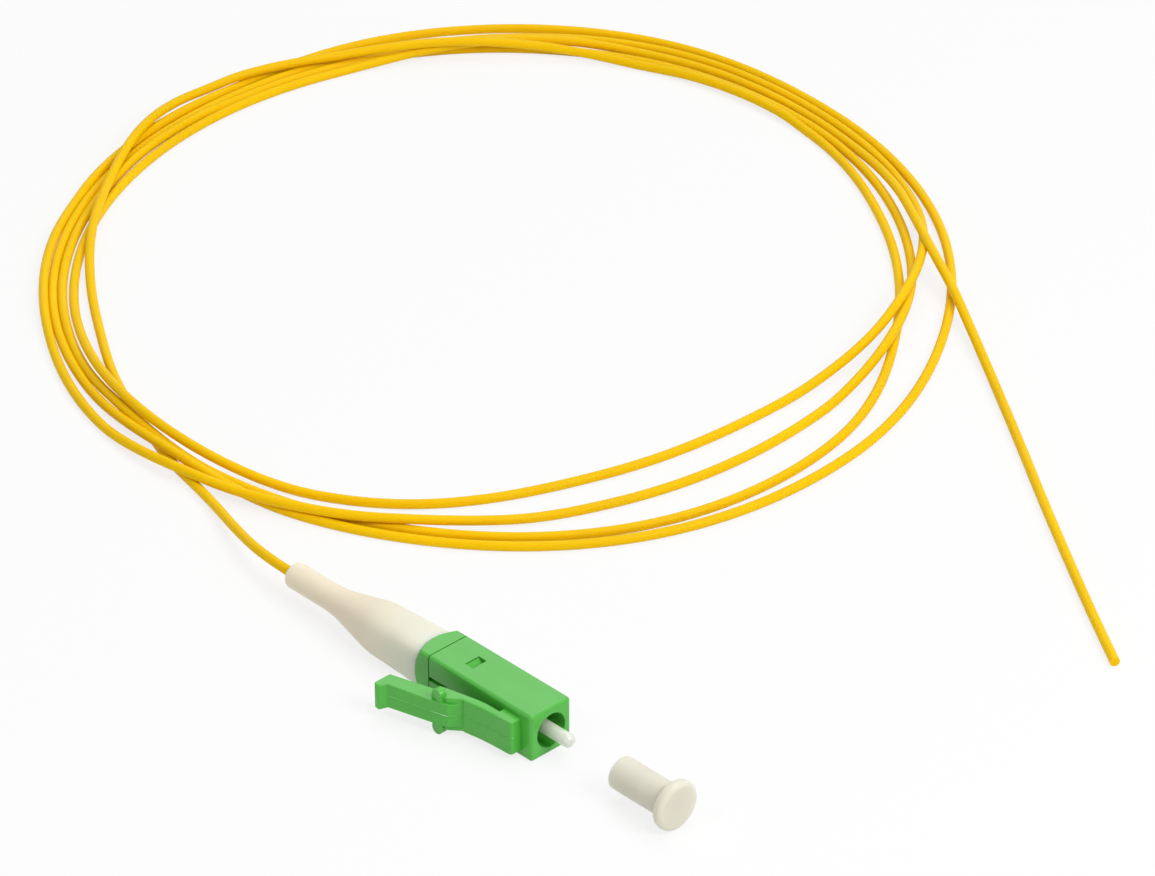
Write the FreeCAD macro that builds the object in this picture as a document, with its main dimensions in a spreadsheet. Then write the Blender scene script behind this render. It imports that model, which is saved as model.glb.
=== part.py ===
import FreeCAD, Part
import math
import os
import re
import Sketcher

# A simplex fibre pigtail, lying on its side: a push-pull plug with a pressable latch, a rubber
# boot, and a loose coil of tight-buffered fibre with a bare end. Its dust cap is pulled off.
#
# +X runs out of the plug along its axis, +Z is up, and the latch is on the -Y side. The origin is
# on the plug's axis, in the plane of the housing's front face. A size called "back" is measured
# from that plane towards -X, and one called "rise" outwards from the housing's latch wall.

DOC = FreeCAD.newDocument("pigtail")

SIZES = [
    ("housing_side", 4.52, "square section of the plug"),
    ("housing_edge", 0.30, "rounding of its long edges"),
    ("housing_length", 12.45, "front face to seam"),
    ("front_bore", 3.20, "round mouth around the ferrule"),
    ("front_bore_depth", 3.20, "depth of the mouth"),
    ("web_thickness", 0.80, "wall that the flange rests on"),
    ("cavity_side", 3.30, "square room behind the web"),
    ("cavity_corner", 0.40, "its corner rounding"),
    ("window_back", 8.63, "front edge of the snap windows"),
    ("window_length", 0.97, "along the plug"),
    ("window_width", 1.60, "across the plug"),
    ("slit_length", 2.20, "relief slit in the latch wall"),
    ("slit_width", 0.44, "its height"),
    ("slit_room_floor", 0.85, "floor of the rear body's hollow behind it, off the axis"),
    ("root_back", 1.30, "front face of the latch's root"),
    ("root_rise", 1.09, "root's outer face at its front"),
    ("root_edge", 0.35, "rounding of its front edge"),
    ("root_end_gap", 0.15, "root's rear face ahead of the pivot"),
    ("slot_height", 0.52, "slot between wall and arm"),
    ("slot_depth", 0.24, "how far it reaches into the root"),
    ("latch_width", 3.20, "width of root and arm"),
    ("pivot_back", 3.65, "flexing line of the latch"),
    ("pivot_rise", 0.87, "its height over the wall"),
    ("knuckle_radius", 0.27, "round end of the arm"),
    ("knuckle_clearance", 0.03, "play in the root's cup"),
    ("arm_half", 0.35, "half of the arm's thickness"),
    ("bend_run", 1.15, "pivot to the arm's bend"),
    ("bend_rise", 0.17, "outer face gained there"),
    ("ramp_run", 1.70, "bend to the foot of the arm's step"),
    ("ramp_rise", 0.26, "outer face gained there"),
    ("step_run", 1.10, "length of the step"),
    ("step_rise", 0.77, "outer face gained there"),
    ("plate_run", 1.50, "step to the end of the wide plate"),
    ("plate_rise", 0.27, "outer face gained there"),
    ("plate_thickness", 1.21, "wide plate at its end"),
    ("lever_width", 2.26, "width of block and lever"),
    ("block_start", 0.18, "foot of the step to the block"),
    ("block_run", 0.66, "slope of the block's front"),
    ("block_rise", 0.97, "height of that slope"),
    ("block_top_run", 1.57, "length of the block's top"),
    ("block_top_rise", 0.51, "slope of the block's top"),
    ("lever_run", 4.13, "block to the lever's lip"),
    ("lever_rise", 1.07, "height gained there"),
    ("lip_run", 0.32, "slope of the lip's front"),
    ("lip_rise", 0.74, "height of that slope"),
    ("lip_thickness", 0.61, "lip to the lever's end face"),
    ("lip_round", 0.20, "rounding of the lip"),
    ("tip_height", 1.86, "height of the lever's end face"),
    ("ear_radius", 0.57, "half-round ears of the latch"),
    ("ear_reach", 2.24, "ears' outer end from the mid plane"),
    ("ear_inset", 0.60, "ears' centre ahead of the plate's end"),
    ("ear_thickness", 0.60, "thickness of the ears and the bar between"),
    ("ear_sink", 0.49, "ears' inner face under the plate's skin"),
    ("plug_back", 8.40, "front face of the rear body"),
    ("plug_clearance", 0.05, "rear body in the housing"),
    ("plug_corner", 0.35, "corner rounding of the rear body"),
    ("seam_gap", 0.12, "housing to collar"),
    ("collar_length", 1.66, "collar at the middle of a side"),
    ("collar_corner_drop", 0.62, "how much shorter its corners are"),
    ("barb_gap", 0.32, "window edge to barb"),
    ("barb_clearance", 0.05, "barb in its window"),
    ("barb_sink", 0.11, "barb's catch under the skin"),
    ("barb_foot", 0.05, "barb's low end over the cavity wall"),
    ("stem_diameter", 3.20, "stem that holds the boot"),
    ("stem_length", 4.33, "collar to stem end"),
    ("rib_height", 0.15, "retaining rib on the stem"),
    ("rib_width", 0.50, "its width"),
    ("rib_inset", 0.90, "stem end to rib"),
    ("rib_clearance", 0.04, "rib in the boot's groove"),
    ("guide_outer", 1.40, "guide tube, outside"),
    ("guide_inner", 1.00, "guide tube, inside"),
    ("guide_inset", 0.20, "its front end in the rear body"),
    ("guide_length", 7.40, "its length"),
    ("boot_gap", 0.03, "collar to boot"),
    ("boot_corner_radius", 2.66, "boot's front over its corners"),
    ("boot_flat", 2.20, "boot's front over its flats, which end level with the plug"),
    ("boot_belly_radius", 2.45, "over its corners where the flare begins"),
    ("boot_barrel_length", 6.20, "front to belly"),
    ("boot_flare_length", 5.90, "belly to tube"),
    ("boot_tube_length", 5.64, "plain tube at the rear"),
    ("boot_tube_radius", 1.20, "its radius"),
    ("boot_end_round", 0.25, "rounding of the rear edge"),
    ("socket_spare", 0.20, "socket beyond the stem's end"),
    ("boot_bore_clearance", 0.075, "boot around the fibre"),
    ("ferrule_diameter", 1.25, "ceramic ferrule"),
    ("ferrule_reach", 2.50, "tip ahead of the front face"),
    ("ferrule_back", 4.30, "rear end of the ferrule"),
    ("ferrule_tip_round", 0.45, "rounding of the tip"),
    ("ferrule_tip_angle", 8.00, "angle of the polished face"),
    ("glass_diameter", 0.125, "bare glass fibre"),
    ("coating_diameter", 0.25, "its coating"),
    ("coating_back", 4.40, "where the coating begins"),
    ("buffer_diameter", 0.90, "tight buffer"),
    ("buffer_back", 6.00, "where the buffer begins"),
    ("buffer_front_length", 1.90, "buffer that floats with the ferrule"),
    ("float_room", 1.10, "free length behind it"),
    ("nose_diameter", 1.90, "flange's nose"),
    ("nose_back", 2.90, "its front face"),
    ("nose_clearance", 0.075, "nose in the web"),
    ("flange_gap", 0.02, "flange to web"),
    ("flange_flats", 2.70, "across the flats of the hexagon"),
    ("flange_length", 1.38, "length of the hexagon"),
    ("shank_diameter", 1.50, "flange's shank inside the spring"),
    ("shank_length", 2.00, "its length"),
    ("flange_bore", 0.95, "bore behind the ferrule"),
    ("spring_diameter", 2.30, "mean diameter of the coils"),
    ("spring_wire", 0.28, "wire of the spring"),
    ("spring_turns", 5.00, "number of coils"),
    ("cap_gap", 8.27, "front face to the pulled-off cap"),
    ("cap_tube_diameter", 3.00, "cap's tube"),
    ("cap_tube_length", 5.80, "its length"),
    ("cap_bore", 1.50, "hole over the ferrule"),
    ("cap_bore_depth", 5.50, "depth of the hole"),
    ("cap_disc_diameter", 4.50, "cap's grip disc"),
    ("cap_disc_length", 1.05, "its thickness"),
    ("cap_disc_round", 0.42, "rounding of the disc"),
    ("cap_mouth_round", 0.12, "rounding of the mouth"),
    ("coil_height", 2.80, "three layers of fibre"),
    ("coil_long", 47.30, "long outer half axis"),
    ("coil_short", 42.20, "short outer half axis"),
    ("coil_turn", 142.0, "direction of the long axis"),
    ("coil_band", 7.15, "mean width of the band of turns"),
    ("coil_hole_shift", 3.40, "middle's shift off centre"),
    ("coil_hole_turn", 175.0, "direction of that shift"),
    ("coil_edge", 0.90, "rounding of the coil's edges"),
    ("coil_centre_x", -58.0, "middle of the coil"),
    ("coil_centre_y", 50.0, "middle of the coil"),
]

# Routes of the fibre where it isn't coiled, with points chosen by hand.
LEAD_ROUTE = [
    (-32.0, 0.0, 0.0), (-34.6, 0.0, 0.0), (-38.5, 0.75, -0.35), (-42.5, 2.2, -1.05),
    (-46.5, 3.7, -1.6), (-50.0, 4.7, -1.81), (-53.4, 5.4, -1.81), (-56.7, 6.25, -1.81),
]
TAIL_ROUTE = [
    (-29.9, 78.0, -0.9), (-25.9, 75.9, -0.9), (-21.0, 72.9, -1.35), (-14.4, 68.8, -1.75),
    (-5.2, 62.6, -1.81), (3.6, 56.5, -1.81), (11.5, 51.2, -1.81), (18.6, 46.5, -1.81),
    (24.06, 43.04, -1.81),
]


def fill_sheet():
    sheet = DOC.addObject("Spreadsheet::Sheet", "Sizes")
    for row, (alias, number, meaning) in enumerate(SIZES, start=1):
        sheet.set(f"A{row}", meaning)
        sheet.set(f"B{row}", str(number))
        sheet.setAlias(f"B{row}", alias)
    DOC.recompute()
    return sheet


SHEET = fill_sheet()
ALIASES = {alias for alias, number, meaning in SIZES}


def bound(formula):
    """Write a formula of size names the way an expression of the document needs it."""
    return re.sub(
        r"[a-z_]+", lambda word: ("Sizes." if word[0] in ALIASES else "") + word[0], formula
    )


def size(formula):
    return float(SHEET.evalExpression(bound(formula)))


def bind(thing, **formulas):
    """Bind properties such as Length or Placement_Base_x to formulas of size names."""
    for name, formula in formulas.items():
        thing.setExpression(name.replace("_", "."), bound(formula))


def new_body(name):
    body = DOC.addObject("PartDesign::Body", name)
    body.Label = name
    return body


def plane_of(body, role):
    return next(item for item in body.Origin.OriginFeatures if item.Role == role)


def new_sketch(body, name, role, offset="0"):
    """An empty sketch on one of the body's own planes, moved along the plane's normal."""
    sketch = body.newObject("Sketcher::SketchObject", name)
    sketch.AttachmentSupport = [(plane_of(body, role), "")]
    sketch.MapMode = "FlatFace"
    bind(sketch, AttachmentOffset_Base_z=offset)
    return sketch


def pin_point(sketch, curve, end, across, up):
    """Hold one end of a curve at a place given by two formulas."""
    for kind, formula in (("DistanceX", across), ("DistanceY", up)):
        index = sketch.addConstraint(
            Sketcher.Constraint(kind, -1, 1, curve, end, size(formula))
        )
        sketch.setExpression(f"Constraints[{index}]", bound(formula))


def add_arc(sketch, start, end, radius, centre):
    """An arc between two places; returns the curve and which of its ends come first and last."""
    middle = FreeCAD.Vector(size(centre[0]), size(centre[1]), 0)
    circle = Part.Circle(middle, FreeCAD.Vector(0, 0, 1), size(radius))
    first, last = (math.atan2(place.y - middle.y, place.x - middle.x) for place in (start, end))
    runs_on = math.sin(last - first) > 0
    angles = (first, last) if runs_on else (last, first)
    curve = sketch.addGeometry(Part.ArcOfCircle(circle, *angles), False)
    index = sketch.addConstraint(Sketcher.Constraint("Radius", curve, size(radius)))
    sketch.setExpression(f"Constraints[{index}]", bound(radius))
    return (curve, 1, 2) if runs_on else (curve, 2, 1)


def add_outline(sketch, corners, arcs=None):
    """A closed outline through corners given as pairs of formulas.

    Its edges are straight, but for those in arcs: the number of the corner that the edge starts
    at, with the arc's radius and centre.
    """
    places = [FreeCAD.Vector(size(across), size(up), 0) for across, up in corners]
    edges = []
    for number, start in enumerate(places):
        end = places[(number + 1) % len(places)]
        if arcs and number in arcs:
            edges.append(add_arc(sketch, start, end, *arcs[number]))
        else:
            edges.append((sketch.addGeometry(Part.LineSegment(start, end), False), 1, 2))
    for number, (across, up) in enumerate(corners):
        before, _, last = edges[number - 1]
        curve, first, _ = edges[number]
        sketch.addConstraint(Sketcher.Constraint("Coincident", before, last, curve, first))
        pin_point(sketch, curve, first, across, up)


def add_circle(sketch, radius, across="0", up="0"):
    centre = FreeCAD.Vector(size(across), size(up), 0)
    circle = Part.Circle(centre, FreeCAD.Vector(0, 0, 1), size(radius))
    curve = sketch.addGeometry(circle, False)
    index = sketch.addConstraint(Sketcher.Constraint("Radius", curve, size(radius)))
    sketch.setExpression(f"Constraints[{index}]", bound(radius))
    pin_point(sketch, curve, 3, across, up)


def rectangle(left, right, bottom, top):
    return [(left, bottom), (right, bottom), (right, top), (left, top)]


def square(half):
    return rectangle(f"-({half})", half, f"-({half})", half)


def add_feature(body, kind, name, sketch, length=None):
    """A pad, pocket, revolution or groove of a sketch."""
    feature = body.newObject(f"PartDesign::{kind}", name)
    feature.Profile = sketch
    if length:
        bind(feature, Length=length)
    sketch.Visibility = False
    return feature


def backwards(feature):
    """Let a pad or pocket of a cross section run towards -X."""
    feature.Reversed = feature.isDerivedFrom("PartDesign::Pad")
    return feature


def about_axis(body, feature):
    """Turn a profile through a full circle about the plug's axis."""
    axis = plane_of(body, "X_Axis")
    feature.ReferenceAxis = (axis, [""])
    feature.Angle = 360
    return feature


def round_edges(body, name, radius, chosen):
    """Round the edges of the body's tip that a test picks out."""
    DOC.recompute()
    base = body.Tip
    edges = [
        f"Edge{number}"
        for number, edge in enumerate(base.Shape.Edges, start=1)
        if chosen(edge)
    ]
    fillet = body.newObject("PartDesign::Fillet", name)
    fillet.Base = (base, edges)
    bind(fillet, Radius=radius)
    return fillet


def runs_along(edge, direction):
    """True for a straight edge along a direction."""
    if edge.Degenerated or not isinstance(edge.Curve, Part.Line):
        return False
    return edge.Curve.Direction.cross(FreeCAD.Vector(*direction)).Length < 1e-6


def reaches(edge, axis, place):
    """True for an edge that lies at one place along an axis, 0 for x, 1 for y and 2 for z."""
    return all(abs(vertex.Point[axis] - place) < 1e-4 for vertex in edge.Vertexes)


def is_round(edge, radius):
    """True for a circular edge of a radius."""
    if edge.Degenerated or not isinstance(edge.Curve, Part.Circle):
        return False
    return abs(edge.Curve.Radius - radius) < 1e-4


def moulded_pad(body, name, corners, width):
    """A plate drawn in the plane of the latch's travel, as wide as given."""
    sketch = new_sketch(body, f"{name}_outline", "XY_Plane")
    add_outline(sketch, corners)
    pad = add_feature(body, "Pad", name, sketch, width)
    pad.Midplane = True
    return pad


def across_cut(body, name, role, corners):
    """A cut right through, with its outline on one of the body's long planes."""
    sketch = new_sketch(body, f"{name}_outline", role)
    add_outline(sketch, corners)
    cut = add_feature(body, "Pocket", name, sketch)
    cut.Type = "ThroughAll"
    cut.Midplane = True
    return cut


HALF = "housing_side / 2"
PIVOT_OUT = f"({HALF} + pivot_rise)"
ROOT_END = "(pivot_back - root_end_gap)"
HOUSING_END = "housing_length"
COLLAR_START = "(housing_length + seam_gap)"
COLLAR_END = f"({COLLAR_START} + collar_length)"
COLLAR_CORNER = f"(({HALF} - housing_edge) * sqrt(2) + housing_edge)"
COLLAR_SLOPE = f"(collar_corner_drop / ({COLLAR_CORNER} - {HALF}))"
STEM_END = f"({COLLAR_END} + stem_length)"
BOOT_START = f"({COLLAR_END} + boot_gap)"
BOOT_END = f"({BOOT_START} + boot_barrel_length + boot_flare_length + boot_tube_length)"
SPRING_START = "(front_bore_depth + web_thickness + flange_gap + flange_length)"


def out(back, outward):
    """A corner in the latch's plane, from its distance back and out to the latch side."""
    return (f"-({back})", f"-({outward})")


def make_front_housing():
    body = new_body("front_housing")
    section = new_sketch(body, "shell_section", "YZ_Plane")
    add_outline(section, square(HALF))
    backwards(add_feature(body, "Pad", "shell", section, HOUSING_END))
    round_edges(
        body, "outer_edges", "housing_edge",
        lambda edge: runs_along(edge, (1, 0, 0)) or reaches(edge, 0, 0),
    )

    inside_wall = f"({HALF} - housing_edge)"
    root = [
        out("root_back", inside_wall),
        out("root_back", f"{HALF} + root_rise"),
        out(ROOT_END, f"{PIVOT_OUT} + arm_half"),
        out(ROOT_END, inside_wall),
    ]
    moulded_pad(body, "latch_root", root, "latch_width")
    root_front = -size("root_back")
    root_face = -size(f"{HALF} + root_rise")
    round_edges(
        body, "root_edge", "root_edge",
        lambda edge: reaches(edge, 0, root_front) and reaches(edge, 1, root_face),
    )

    cup = new_sketch(body, "cup_outline", "XY_Plane")
    add_circle(cup, "knuckle_radius + knuckle_clearance", *out("pivot_back", PIVOT_OUT))
    cup_cut = add_feature(body, "Pocket", "latch_cup", cup)
    cup_cut.Type = "ThroughAll"
    cup_cut.Midplane = True
    slot = [
        out(f"{ROOT_END} - slot_depth", HALF),
        out(f"{ROOT_END} - slot_depth", f"{HALF} + slot_height"),
        out(f"{ROOT_END} + slot_depth", f"{HALF} + slot_height"),
        out(f"{ROOT_END} + slot_depth", HALF),
    ]
    across_cut(body, "latch_slot", "XY_Plane", slot)

    mouth = new_sketch(body, "mouth_outline", "YZ_Plane")
    add_circle(mouth, "front_bore / 2")
    backwards(add_feature(body, "Pocket", "mouth", mouth, "front_bore_depth"))
    web = new_sketch(body, "web_hole_outline", "YZ_Plane")
    add_circle(web, "nose_diameter / 2 + nose_clearance")
    backwards(
        add_feature(body, "Pocket", "web_hole", web, "front_bore_depth + web_thickness")
    )
    room = new_sketch(body, "cavity_outline", "YZ_Plane", "-(front_bore_depth + web_thickness)")
    add_outline(room, square("cavity_side / 2"))
    backwards(add_feature(body, "Pocket", "cavity", room, HOUSING_END))
    wall = size("cavity_side / 2")
    round_edges(
        body, "cavity_edges", "cavity_corner",
        lambda edge: runs_along(edge, (1, 0, 0))
        and abs(abs(edge.Vertexes[0].Y) - wall) < 1e-4
        and abs(abs(edge.Vertexes[0].Z) - wall) < 1e-4,
    )

    window = rectangle(
        "-(window_back + window_length)", "-window_back", "-window_width / 2", "window_width / 2"
    )
    across_cut(body, "snap_windows", "XY_Plane", window)
    slit = new_sketch(body, "slit_outline", "XZ_Plane")
    slit_front = "-(housing_length - slit_length)"
    slit_rear = "-(housing_length + seam_gap)"
    add_outline(slit, rectangle(slit_rear, slit_front, "-slit_width / 2", "slit_width / 2"))
    slit_cut = add_feature(body, "Pocket", "relief_slit", slit, "housing_side")
    slit_cut.Reversed = True
    DOC.recompute()
    return body


def latch_corners():
    """The arm's and the lever's corners, counted on from the pivot."""
    bend = ("pivot_back + bend_run", f"{PIVOT_OUT} + arm_half + bend_rise")
    foot = (f"{bend[0]} + ramp_run", f"{bend[1]} + ramp_rise")
    shoulder = (f"{foot[0]} + step_run", f"{foot[1]} + step_rise")
    plate = (f"{shoulder[0]} + plate_run", f"{shoulder[1]} + plate_rise")
    start = (f"{foot[0]} + block_start", foot[1])
    block = (f"{start[0]} + block_run", f"{start[1]} + block_rise")
    top = (f"{block[0]} + block_top_run", f"{block[1]} + block_top_rise")
    lever = (f"{top[0]} + lever_run", f"{top[1]} + lever_rise")
    lip = (f"{lever[0]} + lip_run", f"{lever[1]} + lip_rise")
    tip = (f"{lip[0]} + lip_thickness", lip[1])
    return bend, foot, shoulder, plate, start, block, top, lever, lip, tip


def make_latch_lever():
    body = new_body("latch_lever")
    bend, foot, shoulder, plate, start, block, top, lever, lip, tip = latch_corners()
    inner_bend = (bend[0], f"{PIVOT_OUT} - arm_half")
    inner_plate = (plate[0], f"{plate[1]} - plate_thickness")
    neck = "pivot_back"
    arm = [
        (neck, f"{PIVOT_OUT} + arm_half"), bend, foot, shoulder, plate,
        inner_plate, inner_bend, (neck, f"{PIVOT_OUT} - arm_half"),
    ]
    moulded_pad(body, "arm", [out(*corner) for corner in arm], "latch_width")
    blade = [
        start, block, top, lever, lip, tip, (tip[0], f"{tip[1]} - tip_height"),
        inner_plate, (start[0], f"{start[1]} - arm_half"),
    ]
    moulded_pad(body, "lever", [out(*corner) for corner in blade], "lever_width")
    crown = -size(tip[1])
    round_edges(
        body, "lip_round", "lip_round",
        lambda edge: runs_along(edge, (0, 0, 1)) and reaches(edge, 1, crown),
    )
    knuckle = new_sketch(body, "knuckle_outline", "XY_Plane")
    add_circle(knuckle, "knuckle_radius", *out("pivot_back", PIVOT_OUT))
    pad = add_feature(body, "Pad", "knuckle", knuckle, "latch_width")
    pad.Midplane = True
    add_ears(body, plate)
    DOC.recompute()
    return body


def add_ears(body, plate):
    """A bar across the arm's end, whose round ends stand out above and below as ears."""
    ear_back = f"-({plate[0]} - ear_inset)"
    ear_up = "(ear_reach - ear_radius)"
    ear_depth = f"{plate[1]} - ear_sink"
    bar = new_sketch(body, "bar_outline", "XZ_Plane", ear_depth)
    add_outline(bar, rectangle(
        f"{ear_back} - ear_radius", f"{ear_back} + ear_radius", f"-{ear_up}", ear_up,
    ))
    add_feature(body, "Pad", "ear_bar", bar, "ear_thickness")
    ears = new_sketch(body, "ear_outline", "XZ_Plane", ear_depth)
    add_circle(ears, "ear_radius", ear_back, ear_up)
    add_circle(ears, "ear_radius", ear_back, f"-{ear_up}")
    add_feature(body, "Pad", "ears", ears, "ear_thickness")


def make_rear_body():
    body = new_body("rear_body")
    section = new_sketch(body, "plug_section", "YZ_Plane", "-plug_back")
    add_outline(section, square("cavity_side / 2 - plug_clearance"))
    backwards(add_feature(body, "Pad", "plug", section, f"{COLLAR_START} - plug_back"))
    round_edges(body, "plug_edges", "plug_corner", lambda edge: runs_along(edge, (1, 0, 0)))
    section = new_sketch(body, "collar_section", "YZ_Plane", f"-{COLLAR_START}")
    add_outline(section, square(HALF))
    backwards(add_feature(body, "Pad", "collar", section, "collar_length"))
    skin = size(HALF)
    round_edges(
        body, "collar_edges", "housing_edge",
        lambda edge: runs_along(edge, (1, 0, 0)) and abs(abs(edge.Vertexes[0].Y) - skin) < 1e-4,
    )

    cone = new_sketch(body, "collar_cone_outline", "XY_Plane")
    far = f"({HALF} * 2)"
    add_outline(cone, [
        (f"-{COLLAR_END}", HALF),
        (f"-{COLLAR_END}", far),
        (f"-({COLLAR_END} - ({far} - {HALF}) * {COLLAR_SLOPE})", far),
    ])
    about_axis(body, add_feature(body, "Groove", "collar_cone", cone))

    stem = new_sketch(body, "stem_outline", "YZ_Plane", f"-{COLLAR_END}")
    add_circle(stem, "stem_diameter / 2")
    backwards(add_feature(body, "Pad", "stem", stem, "stem_length"))
    rib = new_sketch(body, "rib_outline", "YZ_Plane", f"-({STEM_END} - rib_inset - rib_width)")
    add_circle(rib, "stem_diameter / 2 + rib_height")
    backwards(add_feature(body, "Pad", "rib", rib, "rib_width"))
    bore = new_sketch(body, "bore_outline", "YZ_Plane")
    add_circle(bore, "guide_outer / 2")
    backwards(add_feature(body, "Pocket", "bore", bore, STEM_END))
    hollow = new_sketch(body, "slit_room_outline", "XZ_Plane", "slit_room_floor")
    add_outline(hollow, rectangle(
        f"-{COLLAR_START}", "-(housing_length - slit_length)", "-slit_width / 2", "slit_width / 2"
    ))
    hollow_cut = add_feature(body, "Pocket", "slit_room", hollow, "cavity_side / 2")
    hollow_cut.Reversed = True
    add_barbs(body)
    DOC.recompute()
    return body


def add_barbs(body):
    """Ramped barbs that snap into the housing's upper and lower windows."""
    barbs = new_sketch(body, "barb_outline", "XZ_Plane")
    front = "-(window_back + barb_gap)"
    rear = "-(window_back + window_length - barb_clearance)"
    foot = "(cavity_side / 2 - 2 * plug_clearance)"
    low = "(cavity_side / 2 + barb_foot)"
    high = f"({HALF} - barb_sink)"
    for sign in ("", "-"):
        add_outline(barbs, [
            (front, sign + foot), (front, sign + low), (rear, sign + high), (rear, sign + foot)
        ])
    pad = add_feature(body, "Pad", "barbs", barbs, "window_width - 2 * barb_clearance")
    pad.Midplane = True


def make_boot():
    body = new_body("boot")
    belly = f"({BOOT_START} + boot_barrel_length)"
    neck = f"({belly} + boot_flare_length)"
    fibre_hole = "(buffer_diameter / 2 + boot_bore_clearance)"
    socket_end = f"({STEM_END} + socket_spare)"
    half_run = "(boot_flare_length / 2)"
    half_drop = "((boot_belly_radius - boot_tube_radius) / 2)"
    flare_radius = f"(({half_run} ^ 2 + {half_drop} ^ 2) / (2 * {half_drop}))"
    front_rim = f"({BOOT_START} - (boot_corner_radius - {HALF}) * {COLLAR_SLOPE})"
    profile = [
        (BOOT_START, "stem_diameter / 2"),
        (BOOT_START, HALF),
        (front_rim, "boot_corner_radius"),
        (belly, "boot_belly_radius"),
        (f"{belly} + {half_run}", f"boot_belly_radius - {half_drop}"),
        (neck, "boot_tube_radius"),
        (BOOT_END, "boot_tube_radius"),
        (BOOT_END, fibre_hole),
        (socket_end, fibre_hole),
        (socket_end, "stem_diameter / 2"),
    ]
    flare = {
        3: (flare_radius, (f"-({belly})", f"boot_belly_radius - {flare_radius}")),
        4: (flare_radius, (f"-({neck})", f"boot_tube_radius + {flare_radius}")),
    }
    half = new_sketch(body, "boot_profile", "XY_Plane")
    add_outline(half, [(f"-({back})", radius) for back, radius in profile], flare)
    about_axis(body, add_feature(body, "Revolution", "boot_skin", half))
    groove = new_sketch(body, "rib_groove_outline", "XY_Plane")
    groove_start = f"({STEM_END} - rib_inset - rib_width - rib_clearance)"
    groove_end = f"({STEM_END} - rib_inset + rib_clearance)"
    add_outline(groove, rectangle(
        f"-{groove_end}", f"-{groove_start}", "stem_diameter / 2 - rib_clearance",
        "stem_diameter / 2 + rib_height + rib_clearance",
    ))
    about_axis(body, add_feature(body, "Groove", "rib_groove", groove))

    outside = "boot_corner_radius + boot_belly_radius"
    flat = [
        (f"-{COLLAR_START}", "boot_flat"),
        (f"-{COLLAR_END}", "boot_flat"),
        (f"-{belly}", HALF),
        (f"-{neck}", HALF),
        (f"-{neck}", outside),
        (f"-{COLLAR_START}", outside),
    ]
    flats = across_cut(body, "flat", "XY_Plane", flat)
    DOC.recompute()
    ring = body.newObject("PartDesign::PolarPattern", "flats")
    ring.Originals = [flats]
    ring.Axis = (plane_of(body, "X_Axis"), [""])
    ring.Occurrences = 4
    body.Tip = ring
    tube = size("boot_tube_radius")
    end = -size(BOOT_END)
    round_edges(
        body, "rear_edge", "boot_end_round",
        lambda edge: is_round(edge, tube) and reaches(edge, 0, end),
    )
    DOC.recompute()
    return body


def make_ferrule():
    body = new_body("ferrule")
    half = new_sketch(body, "ferrule_profile", "XY_Plane")
    add_outline(half, rectangle(
        "-ferrule_back", "ferrule_reach", "glass_diameter / 2", "ferrule_diameter / 2"
    ))
    about_axis(body, add_feature(body, "Revolution", "ferrule_rod", half))
    radius = size("ferrule_diameter / 2")
    tip = size("ferrule_reach")
    round_edges(
        body, "tip_round", "ferrule_tip_round",
        lambda edge: is_round(edge, radius) and reaches(edge, 0, tip),
    )
    face = new_sketch(body, "polish_outline", "XY_Plane")
    lean = "ferrule_diameter * tan(ferrule_tip_angle * 1 deg)"
    across = "ferrule_diameter"
    beyond = "ferrule_reach + ferrule_diameter"
    add_outline(face, [
        ("ferrule_reach", "0"),
        (f"ferrule_reach - {lean}", f"-{across}"),
        (beyond, f"-{across}"),
        (beyond, "0"),
    ])
    cut = add_feature(body, "Pocket", "polished_face", face)
    cut.Type = "ThroughAll"
    cut.Midplane = True
    DOC.recompute()
    return body


def cylinder(name, diameter, start, length):
    """A rod on the plug's axis, from its start towards -X."""
    rod = DOC.addObject("Part::Cylinder", name)
    bind(rod, Radius=f"({diameter}) / 2", Height=length, Placement_Base_x=f"-({start})")
    rod.Placement.Rotation = FreeCAD.Rotation(FreeCAD.Vector(0, 1, 0), -90)
    return rod


def hexagon(name, flats, start, length):
    prism = DOC.addObject("Part::Prism", name)
    prism.Polygon = 6
    bind(prism, Circumradius=f"({flats}) / sqrt(3)", Height=length, Placement_Base_x=f"-({start})")
    prism.Placement.Rotation = FreeCAD.Rotation(FreeCAD.Vector(0, 1, 0), -90)
    return prism


def joined(name, *pieces):
    union = DOC.addObject("Part::MultiFuse", name)
    union.Shapes = list(pieces)
    return union


def bored(name, solid, *holes):
    cut = DOC.addObject("Part::Cut", name)
    cut.Base = solid
    cut.Tool = holes[0] if len(holes) == 1 else joined(f"{name}_holes", *holes)
    return cut


def make_ferrule_flange():
    flange_start = "(front_bore_depth + web_thickness + flange_gap)"
    shank_end = f"({SPRING_START} + shank_length)"
    blank = joined(
        "flange_blank",
        cylinder("flange_nose", "nose_diameter", "nose_back", f"{flange_start} - nose_back"),
        hexagon("flange_hexagon", "flange_flats", flange_start, "flange_length"),
        cylinder("flange_shank", "shank_diameter", SPRING_START, "shank_length"),
    )
    seat = cylinder("flange_seat", "ferrule_diameter", "0", "ferrule_back")
    passage = cylinder("flange_passage", "flange_bore", "0", shank_end)
    return bored("ferrule_flange", blank, seat, passage)


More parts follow.
